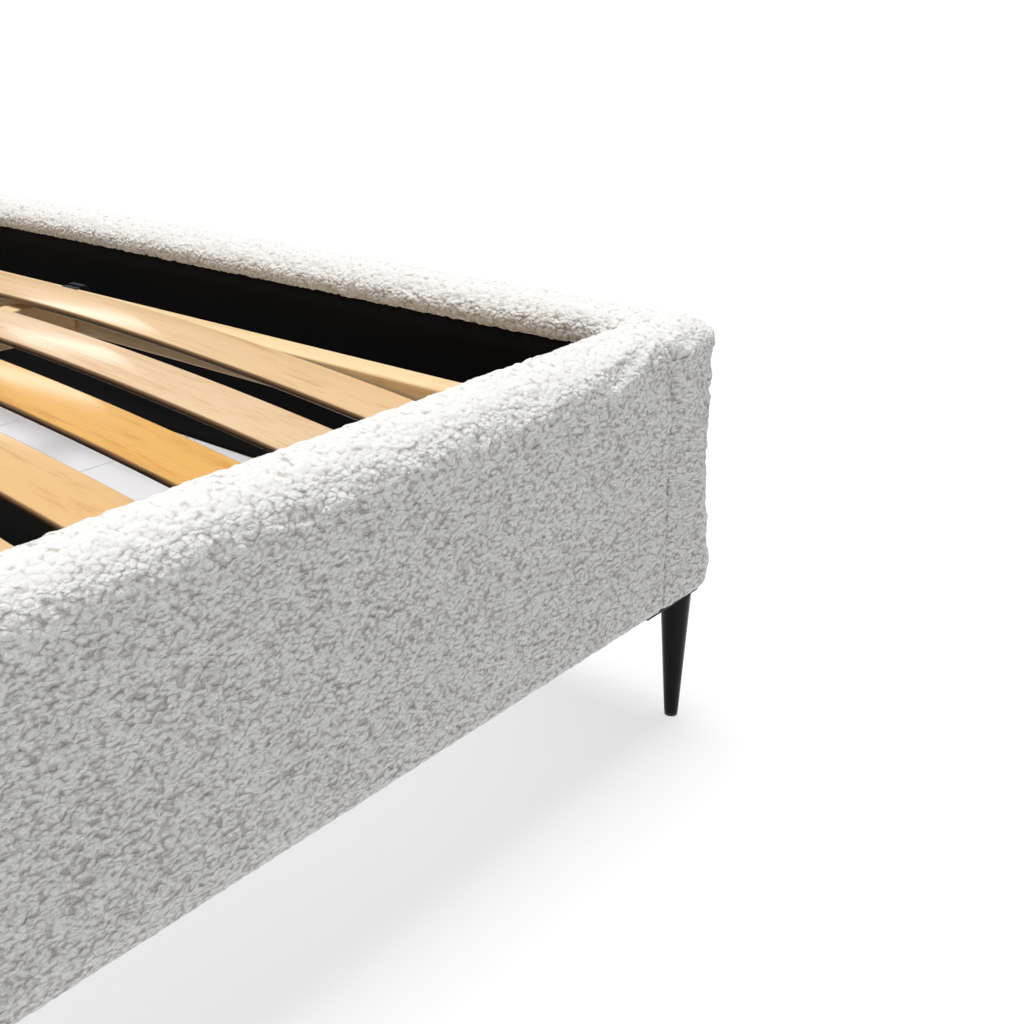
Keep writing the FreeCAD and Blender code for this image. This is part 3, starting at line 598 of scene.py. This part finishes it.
def addPile(piece, seams, calm):
    # wool curls and slow lumps pushed out along the surface, and shallow folds that run into each
    # seam; seams gives the distance to the nearest sewn end, calm is 1 where a staple line pulls flat
    points = getPoints(piece.data)
    normals = getNormals(piece.data)
    bent = points + mm(5) * np.stack([smoothNoise(points, mm(13), seed) for seed in (21, 22, 23)], 1)
    knobs = curlNoise(bent, mm(padding["curlMm"]), 3)
    ridges = 1 - np.minimum(np.abs(smoothNoise(bent, mm(padding["curlMm"]) * 1.3, 5)) * 2.6, 1)
    curls = 0.55 * knobs + 0.45 * ridges
    lumps = smoothNoise(points, mm(padding["lumpMm"]), 7) + 0.6 * smoothNoise(points, mm(12), 8)
    near = seams(points)
    slant = points[:, 2] * 0.8 + near * 0.6 + mm(6) * smoothNoise(points, mm(60), 9)
    folds = np.sin(slant * 2 * math.pi / mm(31)) * np.exp(-near / mm(38)) * ramp(near, 0.002, 0.016)
    free = 1 - calm(points)
    # upward faces: the pile lies flatter there, and the material paints them paler as painted light
    brushedAndPaintedLight = padding["brushedAndPaintedLight"] * ramp(normals[:, 2], 0.2, 0.8)
    height = mm(padding["curlHeightMm"]) * (curls * (1 - brushedAndPaintedLight) + 0.45 * brushedAndPaintedLight) * (0.2 + 0.8 * free)
    fuzz = smoothNoise(points, mm(padding["fuzzMm"]), 51)
    height = height + mm(padding["fuzzHeightMm"]) * fuzz * (0.4 + 0.6 * free)
    height = height + (mm(padding["lumpHeightMm"]) * lumps + mm(padding["puckerMm"]) * folds) * free
    setPoints(piece.data, points + normals * height[:, None])
    for key, value in {"curl": curls, "brushedAndPaintedLight": brushedAndPaintedLight}.items():
        piece.data.attributes.new(key, "FLOAT", "POINT").data.foreach_set("value", value.astype(np.float32))
    piece.data.polygons.foreach_set("use_smooth", np.full(len(piece.data.polygons), True))


def finishCover(piece, voxelMm, held, seams, calm, bulgeMm, nodesInside):
    remeshed(piece, mm(voxelMm))
    simulatePad(piece, held, bulgeMm)
    subdivided(piece)
    addPile(piece, seams, calm)
    finishPiece(piece, boucleWool, "bed_base", nodesInside[0])
    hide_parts(*nodesInside[1:])
    print("  cover", piece.name, len(piece.data.polygons) * 2, "triangles")


footLow, footHigh = box("foot_rail_cover")
headLow, headHigh = box("headboard_cover")
railLow, railHigh = box("side_rail_left_cover")


def quarters(values):
    return np.round(np.clip(values, 0, 1) * 4) / 4


def makeSideRail(side, voxelMm):
    node = "side_rail_%s" % side
    low, high = box(node + "_cover")
    sewn = np.array([0, mm(padding["sewnMm"]), 0])
    piece = sweptRail(node + "_boucle", low - sewn, high + sewn, 1, -1 if side == "left" else 1,
                      {"outerMm": padding["seamMm"], "innerMm": 2, "topMm": padding["seamMm"], "foot": 0.4})

    def seams(points):
        return np.minimum(points[:, 1] - low[1], high[1] - points[:, 1]).clip(0)

    def held(points):
        # stapled under the rail and down inside it, and sewn to its neighbours at both ends
        under = 1 - ramp(points[:, 2], low[2] + 0.004, low[2] + 0.03)
        ends = 1 - ramp(seams(points), 0.004, 0.02)
        reach = high[0] - np.abs(points[:, 0]) if side == "right" else np.abs(low[0]) - np.abs(points[:, 0])
        inside = ramp(reach, 0.044, 0.05) * (1 - ramp(points[:, 2], high[2] - 0.03, high[2] - 0.015))
        return quarters(np.maximum(np.maximum(under, ends), inside))

    def calm(points):
        reach = abs(low[0] if side == "left" else high[0]) - np.abs(points[:, 0])
        lip = ramp(reach, 0.04, 0.05) * (1 - ramp(points[:, 2], high[2] - 0.026, high[2] - 0.012))
        return np.maximum(lip, 1 - ramp(points[:, 2], low[2], low[2] + 0.03))

    finishCover(piece, voxelMm, held, seams, calm, 5.0, [node + "_cover", node + "_padding"])


def makeFootRail(voxelMm):
    # this one is stuffed a little proud at its outer face and its two ends
    proud = mm(padding["proudMm"])
    low, high = footLow - [proud * 0.6, proud, 0], footHigh + [proud * 0.6, 0, proud * 0.3]
    piece = sweptRail("foot_rail_boucle", low, high, 0, -1,
                      {"outerMm": padding["cornerMm"], "innerMm": padding["seamMm"],
                       "topMm": padding["edgeMm"] + 1, "foot": 1.0})

    def seams(points):
        # distance from the upright seams where the side rails meet this one
        return np.hypot(high[1] - points[:, 1], np.maximum(np.abs(railHigh[0]) - np.abs(points[:, 0]), 0))

    def held(points):
        under = 1 - ramp(points[:, 2], low[2] + 0.004, low[2] + 0.03)
        behind = ramp(points[:, 1], high[1] - 0.016, high[1] - 0.006)
        butted = behind * ramp(np.abs(points[:, 0]), abs(railHigh[0]) - 0.004, abs(railHigh[0]) + 0.004)
        inside = behind * (1 - ramp(points[:, 2], high[2] - 0.03, high[2] - 0.015))
        return quarters(np.maximum(np.maximum(under, butted), inside))

    def calm(points):
        lip = ramp(points[:, 1], high[1] - 0.02, high[1] - 0.008) \
            * (1 - ramp(points[:, 2], high[2] - 0.026, high[2] - 0.012))
        return np.maximum(lip, 1 - ramp(points[:, 2], low[2], low[2] + 0.03))

    finishCover(piece, voxelMm, held, seams, calm, 6.0, ["foot_rail_cover", "foot_rail_padding"])


def makeHeadboard(voxelMm):
    # an upright slab: its outline has two large round corners, and its front and back edges are
    # drawn in by quarter rounds
    low, high = headLow, headHigh + [0, 0, 0.003]
    corner, edge = mm(padding["headCornerMm"]), mm(padding["edgeMm"])
    depth = high[1] - low[1]
    bend = edge * (1 - np.cos(np.linspace(0, math.pi / 2, 9)))
    spots = np.concatenate([bend, [depth / 2], depth - bend[::-1]])
    turn = np.linspace(0, math.pi / 2, 13)
    rows = []
    for spot in spots:
        pull = easedIn(min(spot, depth - spot), edge)
        half, roof = high[0] - pull, high[2] - pull
        foot = low[2] + easedIn(min(spot, depth - spot), 0.006)
        radius = corner - pull
        rightCorner = np.stack([half - radius * (1 - np.cos(turn)), roof - radius * (1 - np.sin(turn))], 1)
        leftCorner = rightCorner[::-1] * [-1, 1]
        rows.append(np.concatenate([[[-half, foot], [half, foot]], rightCorner, leftCorner]))
    outline = np.array(rows)
    points = np.zeros(outline.shape[:2] + (3,))
    points[..., 0], points[..., 2] = outline[..., 0], outline[..., 1]
    points[..., 1] = low[1] + spots[:, None]
    faces = gridFaces(len(spots), outline.shape[1], closeColumns=True)
    piece = closedPiece("headboard_boucle", points, faces)

    def seams(points):
        # the side rails and the mattress side meet the front; the cover is stapled behind
        return high[1] - points[:, 1] + 0.05

    def held(points):
        behind = ramp(points[:, 1], high[1] - 0.016, high[1] - 0.004)
        under = 1 - ramp(points[:, 2], low[2] + 0.004, low[2] + 0.03)
        rails = (1 - ramp(points[:, 1], low[1] + 0.004, low[1] + 0.012)) \
            * (1 - ramp(points[:, 2], railHigh[2] - 0.02, railHigh[2] + 0.02))
        return quarters(np.maximum(np.maximum(under, behind), rails))

    def calm(points):
        # flat behind, and in front where the box lining lies against it
        behind = ramp(points[:, 1], high[1] - 0.012, high[1] - 0.002)
        lined = railHigh[2] - mm(padding["wrapMm"])
        front = (1 - ramp(points[:, 1], low[1] + 0.004, low[1] + 0.012)) \
            * (1 - ramp(points[:, 2], lined, lined + 0.02))
        return np.maximum(behind, front)

    finishCover(piece, voxelMm, held, seams, calm, 9.0, ["headboard_cover", "headboard_padding"])


print("covers")
makeSideRail("left", 5.0)
makeFootRail(5.2)
makeSideRail("right", 6.5)
makeHeadboard(8.0)


lining = {
    "spacingMm": 30.0,      # between the points of a stretched sheet
    "rippleMm": 0.5,
    "thickMm": 1.2,
    "wrinkleMm": 3.0,       # in the cloth that lies loose on the bottom boards
}


def makeStretched(name, node, across, low, high, spot, facing):
    # a flat sheet between two corners, with slight ripples between its staples, given a thickness
    # towards the board behind it
    width, height = high[0] - low[0], high[1] - low[1]
    columns, rows = int(width / mm(lining["spacingMm"])) + 2, int(height / mm(lining["spacingMm"])) + 2
    a, b = np.meshgrid(np.linspace(low[0], high[0], columns), np.linspace(low[1], high[1], rows),
                       indexing="ij")
    points = np.zeros(a.shape + (3,))
    points[..., across], points[..., 2] = a, b
    flat = points.reshape(-1, 3)
    rim = np.minimum(np.minimum(flat[:, across] - low[0], high[0] - flat[:, across]),
                     np.minimum(flat[:, 2] - low[1], high[1] - flat[:, 2]))
    ripple = mm(lining["rippleMm"]) * (smoothNoise(flat, 0.16, 31) + 1) * ramp(rim, 0, 0.05)
    flat[:, 1 - across] = spot + facing * ripple
    mesh = newMesh(name, flat, gridFaces(columns, rows))
    normals = getNormals(mesh)
    if normals[:, 1 - across].mean() * facing < 0:
        mesh.flip_normals()
    piece = newPiece(name, mesh)
    wall = piece.modifiers.new("Solidify", "SOLIDIFY")
    wall.thickness = mm(lining["thickMm"])
    wall.offset = -1
    applied(piece)
    finishPiece(piece, blackCloth, "bed_base", node)
    return piece


print("linings")
liningLow, liningHigh = box("box_linings")
floorTop = box("bottom_center_board")[1][2]
wallTop = footHigh[2] - mm(padding["wrapMm"]) + 0.006
insideX = railHigh[0]
span = (-abs(insideX), abs(insideX))
makeStretched("foot_lining", "box_linings", 0, (span[0], floorTop), (span[1], wallTop),
              footHigh[1] - 0.0015, 1)
makeStretched("head_lining", "box_linings", 0, (span[0], floorTop), (span[1], wallTop),
              headLow[1] - 0.003, -1)
makeStretched("left_lining", "box_linings", 1, (footHigh[1], floorTop), (headLow[1] - 0.002, wallTop),
              span[0] - 0.0015, 1)
makeStretched("right_lining", "box_linings", 1, (footHigh[1], floorTop), (headLow[1] - 0.002, wallTop),
              span[1] + 0.0015, -1)


def makeFloorCloth():
    # a cloth laid on the bottom boards: a grid raised by slow wrinkles, flat along its edges
    low, high = box("floor_cloth")
    across, along = np.meshgrid(np.linspace(low[0], high[0], 90), np.linspace(low[1], high[1], 100),
                                indexing="ij")
    points = np.stack([across, along, np.zeros_like(across)], -1).reshape(-1, 3)
    rim = np.minimum(np.minimum(points[:, 0] - low[0], high[0] - points[:, 0]),
                     np.minimum(points[:, 1] - low[1], high[1] - points[:, 1]))
    wrinkle = np.maximum(smoothNoise(points * [1, 0.5, 1], 0.09, 41), 0) * mm(lining["wrinkleMm"])
    points[:, 2] = low[2] + mm(lining["thickMm"]) + 0.0004 + wrinkle * ramp(rim, 0, 0.08)
    mesh = newMesh("floor_cloth_laid", points, gridFaces(90, 100))
    if getNormals(mesh)[:, 2].mean() < 0:
        mesh.flip_normals()
    piece = newPiece("floor_cloth_laid", mesh)
    wall = piece.modifiers.new("Solidify", "SOLIDIFY")
    wall.thickness = mm(lining["thickMm"])
    wall.offset = -1
    applied(piece)
    finishPiece(piece, blackCloth, "bed_base", "floor_cloth")


makeFloorCloth()
backLow, backHigh = box("headboard_back_cloth")
makeStretched("headboard_back", "headboard_back_cloth", 0, (backLow[0], backLow[2]),
              (backHigh[0], backHigh[2]), headHigh[1] + 0.0035, 1)


slats = {
    "thickMm": 8.0,
    "edgeMm": 3.4,          # rounding of the long edges
    "rimMm": 2.6,           # the darker cut edge reaches this far in
    # how golden each slat is, from the foot end
    "tones": [0.2, 0.0, 1.0, 0.55, 0.3, 0.85, 0.15, 0.5, 0.75, 0.35, 0.9, 0.2, 0.6, 0.4, 0.8, 0.1, 0.55],
}


def makeSlat(number):
    # an arc through the ends and the middle, carried by a section with rounded long edges
    node = "slat_%02d" % number
    low, high = box(node)
    half = (high[0] - low[0]) / 2
    thick = mm(slats["thickMm"])
    bow = high[2] - low[2] - thick
    radius = (half * half + bow * bow) / (2 * bow)
    across = np.linspace(-half, half, 121)
    rise = np.sqrt(radius ** 2 - across ** 2) - (radius - bow)
    edge = mm(slats["edgeMm"])
    width = high[1] - low[1]
    turn = np.linspace(0, math.pi / 2, 6)
    corner = np.stack([np.cos(turn), np.sin(turn)], 1) * edge
    y, z = width / 2 - edge, thick / 2 - edge
    section = np.concatenate([
        corner + [y, z], corner[:, ::-1] * [-1, 1] + [-y, z],
        corner * [-1, -1] + [-y, -z], corner[:, ::-1] * [1, -1] + [y, -z]])
    count = len(section)
    points = np.zeros((len(across), count, 3))
    tilt = np.arctan2(-across, np.sqrt(radius ** 2 - across ** 2))
    points[..., 0] = across[:, None] - np.sin(tilt)[:, None] * section[None, :, 1]
    points[..., 1] = (low[1] + high[1]) / 2 + section[None, :, 0]
    middle = high[2] - bow - thick / 2 + rise
    points[..., 2] = middle[:, None] + np.cos(tilt)[:, None] * section[None, :, 1]
    faces = gridFaces(len(across), count, closeColumns=True)
    mesh = sealed(newMesh(node + "_veneer", points, faces))
    place = getPoints(mesh)
    fromEdge = width / 2 - np.abs(place[:, 1] - (low[1] + high[1]) / 2)
    values = {"tone": np.full(len(place), slats["tones"][number - 1]),
              "rim": 1 - ramp(fromEdge, mm(slats["rimMm"]) * 0.3, mm(slats["rimMm"]))}
    for key, value in values.items():
        mesh.attributes.new(key, "FLOAT", "POINT").data.foreach_set("value", value.astype(np.float32))
    return finishPiece(newPiece(node + "_veneer", mesh), lacqueredBirch, "lift_frame", node)


print("slats")
for number in range(1, len(slats["tones"]) + 1):
    makeSlat(number)


def makeBar(node, material, body, edge=0.003):
    low, high = box(node)
    piece = blockPiece(node + "_planed", low, high, edge, 0.25, 3)
    return finishPiece(piece, material, body, node)


print("bars")
makeBar("frame_crossbar_foot", barePineAcross, "lift_frame")
makeBar("frame_crossbar_head", barePineAcross, "lift_frame")
makeBar("frame_side_bar_left", barePine, "lift_frame")
makeBar("frame_side_bar_right", barePine, "lift_frame")
makeBar("frame_center_beam", barePine, "lift_frame")


strap = {
    "thickMm": 1.6,
    "ribMm": 2.4,           # between the ribs that run along the webbing
    "ribDepthMm": 0.25,
    "turnMm": 2.2,          # its bend over the crossbar's edges
    "riseMm": 3.0,          # the loop's top above the crossbar
}


def webbingBand(name, path, closed, left, right):
    # a flat woven band: across it, a section with rounded selvedges and fine ribs, carried along a
    # path of (y, z) points and laid off to both sides of it by half its thickness
    steps = path - np.roll(path, 1, 0) + np.roll(path, -1, 0) - path
    if not closed:
        steps[0], steps[-1] = path[1] - path[0], path[-1] - path[-2]
    steps /= np.linalg.norm(steps, axis=1, keepdims=True)
    outward = np.stack([steps[:, 1], -steps[:, 0]], 1)
    across = np.linspace(left, right, 49)
    half = mm(strap["thickMm"]) / 2 * np.sqrt(np.clip(1 - np.abs(np.linspace(-1, 1, 49)) ** 12, 0.05, 1))
    half = half + mm(strap["ribDepthMm"]) * np.cos((across - left) * 2 * math.pi / mm(strap["ribMm"])) * 0.5
    offset = np.concatenate([half, -half[::-1]])
    x = np.concatenate([across, across[::-1]])
    points = np.zeros((len(path), len(x), 3))
    points[..., 0] = x
    points[..., 1:] = path[:, None, :] + outward[:, None, :] * offset[None, :, None]
    piece = closedPiece(name, points, gridFaces(len(path), len(x), closed, True))
    return finishPiece(piece, webbing, "lift_frame", "pull_strap")


def roundedLoop(low, high, radius, steps=7):
    # an upright rectangle in (y, z) with quarter-round corners
    turn = np.linspace(0, math.pi / 2, steps)
    centres = [(high[0] - radius, high[1] - radius), (low[0] + radius, high[1] - radius),
               (low[0] + radius, low[1] + radius), (high[0] - radius, low[1] + radius)]
    arcs = []
    for quarter, (y, z) in enumerate(centres):
        angle = turn + quarter * math.pi / 2
        arcs.append(np.stack([y + radius * np.cos(angle), z + radius * np.sin(angle)], 1))
    return np.concatenate(arcs)


print("strap")
strapLow, strapHigh = box("pull_strap")
barLow, barHigh = box("frame_crossbar_foot")
thick = mm(strap["thickMm"])
wrapped = roundedLoop(barLow[1:] - thick * 0.62, barHigh[1:] + thick * 0.62, mm(strap["turnMm"]))
webbingBand("pull_strap_band", wrapped, True, strapLow[0], strapHigh[0])
sweep = np.linspace(-math.pi / 2, math.pi / 2, 41)
loopReach = barLow[1] - thick * 1.8 - strapLow[1] - thick
loopHigh = barHigh[2] + mm(strap["riseMm"])
loop = np.stack([barLow[1] - thick * 1.8 - loopReach * np.cos(sweep) ** 0.4,
                 loopHigh - (loopHigh - barLow[2]) * (0.5 + 0.5 * np.sin(sweep))], 1)
webbingBand("pull_strap_loop", loop, False, strapLow[0] + 0.0005, strapHigh[0] - 0.0005)


legs = {"footRadiusMm": 7.5, "roundMm": 1.5, "collarMm": 2.0, "steps": 72}


def makeLeg(node):
    # a tapered turned leg: its profile, from the middle of the foot to the middle of the top, spun round
    low, high = box(node)
    centre = (low + high) / 2
    topRadius, footRadius, edge = (high[0] - low[0]) / 2, mm(legs["footRadiusMm"]), mm(legs["roundMm"])
    turn = np.linspace(-math.pi / 2, 0, 6)
    foot = np.stack([footRadius - edge + edge * np.cos(turn), low[2] + edge + edge * np.sin(turn)], 1)
    wide = np.linspace(footRadius, topRadius, 14)[1:]
    tall = np.linspace(low[2] + edge, high[2] - mm(legs["collarMm"]), 14)[1:]
    profile = np.concatenate([[[1e-5, low[2]]], foot, np.stack([wide, tall], 1),
                              [[topRadius, high[2]], [1e-5, high[2]]]])
    angle = np.arange(legs["steps"]) * 2 * math.pi / legs["steps"]
    points = np.zeros((len(profile), legs["steps"], 3))
    points[..., 0] = centre[0] + profile[:, :1] * np.cos(angle)
    points[..., 1] = centre[1] + profile[:, :1] * np.sin(angle)
    points[..., 2] = profile[:, 1:]
    mesh = newMesh(node + "_turned", points, gridFaces(len(profile), legs["steps"], closeColumns=True))
    piece = newPiece(node + "_turned", sealed(mesh, 5e-5))
    return finishPiece(piece, glossBlack, "bed_base", node)


print("legs")
for end in ("foot", "head"):
    for side in ("left", "right"):
        makeLeg("leg_%s_%s" % (end, side))


print("stage")
floorPoints = np.array([[-60, -60, 0], [60, -60, 0], [60, 60, 0], [-60, 60, 0]], float)
floor = newPiece("studio_floor", newMesh("studio_floor", floorPoints, [[0, 1, 2, 3]]))
# painted floor that gives off a little light of its own, so that shadows on it stay pale
material, tree, surface, place = startMaterial("studio floor", 0.9)
surface.inputs["Base Color"].default_value = linear("#8e8e92")
surface.inputs["Emission Color"].default_value = linear("#ffffff")
surface.inputs["Emission Strength"].default_value = 0.66
wear(material, floor)

# The light: a broad key almost overhead that just grazes the upright faces, a pale sky that is
# brightest low down, a small panel past the foot end that shines back off the lacquer, and a lamp
# in the box over the bottom boards.
studio = {"skyLow": 0.95, "skyHigh": 0.25, "key": 3.75, "keySpread": 36.0, "keyRise": 84.0,
          "keyFrom": -20.0, "panel": 4.0, "panelSize": 0.6,
          "panelFrom": (3.3, -2.9, 1.75), "panelAt": (-0.05, -0.9, 0.37), "inside": 0.55,
          "insideLong": 1.3, "insideWide": 0.12}
world = bpy.data.worlds.new("studio")
bpy.context.scene.world = world
world.use_nodes = True
tree = world.node_tree
sky = tree.nodes["Background"]
direction = addNode(tree, "ShaderNodeTexCoord")
parts = addNode(tree, "ShaderNodeSeparateXYZ", {"Vector": direction.outputs["Generated"]})
rise = addNode(tree, "ShaderNodeMapRange", {"Value": parts.outputs["Z"]})
rise.inputs["From Min"].default_value = 0.1
rise.inputs["From Max"].default_value = 0.22
rise.inputs["To Min"].default_value = studio["skyLow"]
rise.inputs["To Max"].default_value = studio["skyHigh"]
tree.links.new(rise.outputs[0], sky.inputs["Strength"])
sky.inputs["Color"].default_value = linear("#ffffff")


def aimed(thing, spot, aim):
    thing.location = spot
    thing.rotation_euler = (Vector(aim) - Vector(spot)).to_track_quat("-Z", "Y").to_euler()
    bpy.context.scene.collection.objects.link(thing)


keyLight = bpy.data.lights.new("key", "SUN")
keyLight.energy = studio["key"]
keyLight.angle = math.radians(studio["keySpread"])
rising, turning = math.radians(studio["keyRise"]), math.radians(studio["keyFrom"])
keyWay = Vector((math.cos(turning) * math.cos(rising), math.sin(turning) * math.cos(rising),
                 math.sin(rising)))
aimed(bpy.data.objects.new("key", keyLight), tuple(keyWay * 6), (0, 0, 0))
insideLight = bpy.data.lights.new("inside", "AREA")
insideLight.shape = "RECTANGLE"
insideLight.size, insideLight.size_y = studio["insideLong"], studio["insideWide"]
insideLight.energy = studio["inside"]
aimed(bpy.data.objects.new("inside", insideLight), (0, -0.9, floorTop + 0.12), (0, -0.9, floorTop))
panelLight = bpy.data.lights.new("panel", "AREA")
panelLight.shape = "RECTANGLE"
panelLight.size, panelLight.size_y = studio["panelSize"], studio["panelSize"] * 0.6
panelLight.energy = studio["panel"]
aimed(bpy.data.objects.new("panel", panelLight), studio["panelFrom"], studio["panelAt"])

# The camera stands over the left side rail and looks down to the foot end.
view = {"outMm": 620.0, "backMm": 956.0, "aboveMm": 301.7, "yaw": -49.7362, "pitch": 22.8987,
        "roll": -0.7834, "lens": 45.4}
yaw, pitch, roll = (math.radians(view[key]) for key in ("yaw", "pitch", "roll"))
forward = Vector((math.cos(yaw) * math.cos(pitch), math.sin(yaw) * math.cos(pitch), -math.sin(pitch)))
level = Vector((math.sin(yaw), -math.cos(yaw), 0))
upward = level.cross(forward)
right = level * math.cos(roll) + upward * math.sin(roll)
top = -level * math.sin(roll) + upward * math.cos(roll)
spot = Vector((railLow[0] - mm(view["outMm"]), railLow[1] + mm(view["backMm"]),
               railHigh[2] + mm(view["aboveMm"])))
cameraData = bpy.data.cameras.new("camera")
cameraData.lens = view["lens"]
cameraData.sensor_width = 36
camera = bpy.data.objects.new("camera", cameraData)
bpy.context.scene.collection.objects.link(camera)
camera.matrix_world = Matrix.Translation(spot) @ Matrix((right, top, -forward)).transposed().to_4x4()
bpy.context.scene.camera = camera
bpy.context.scene.view_settings.view_transform = "Standard"
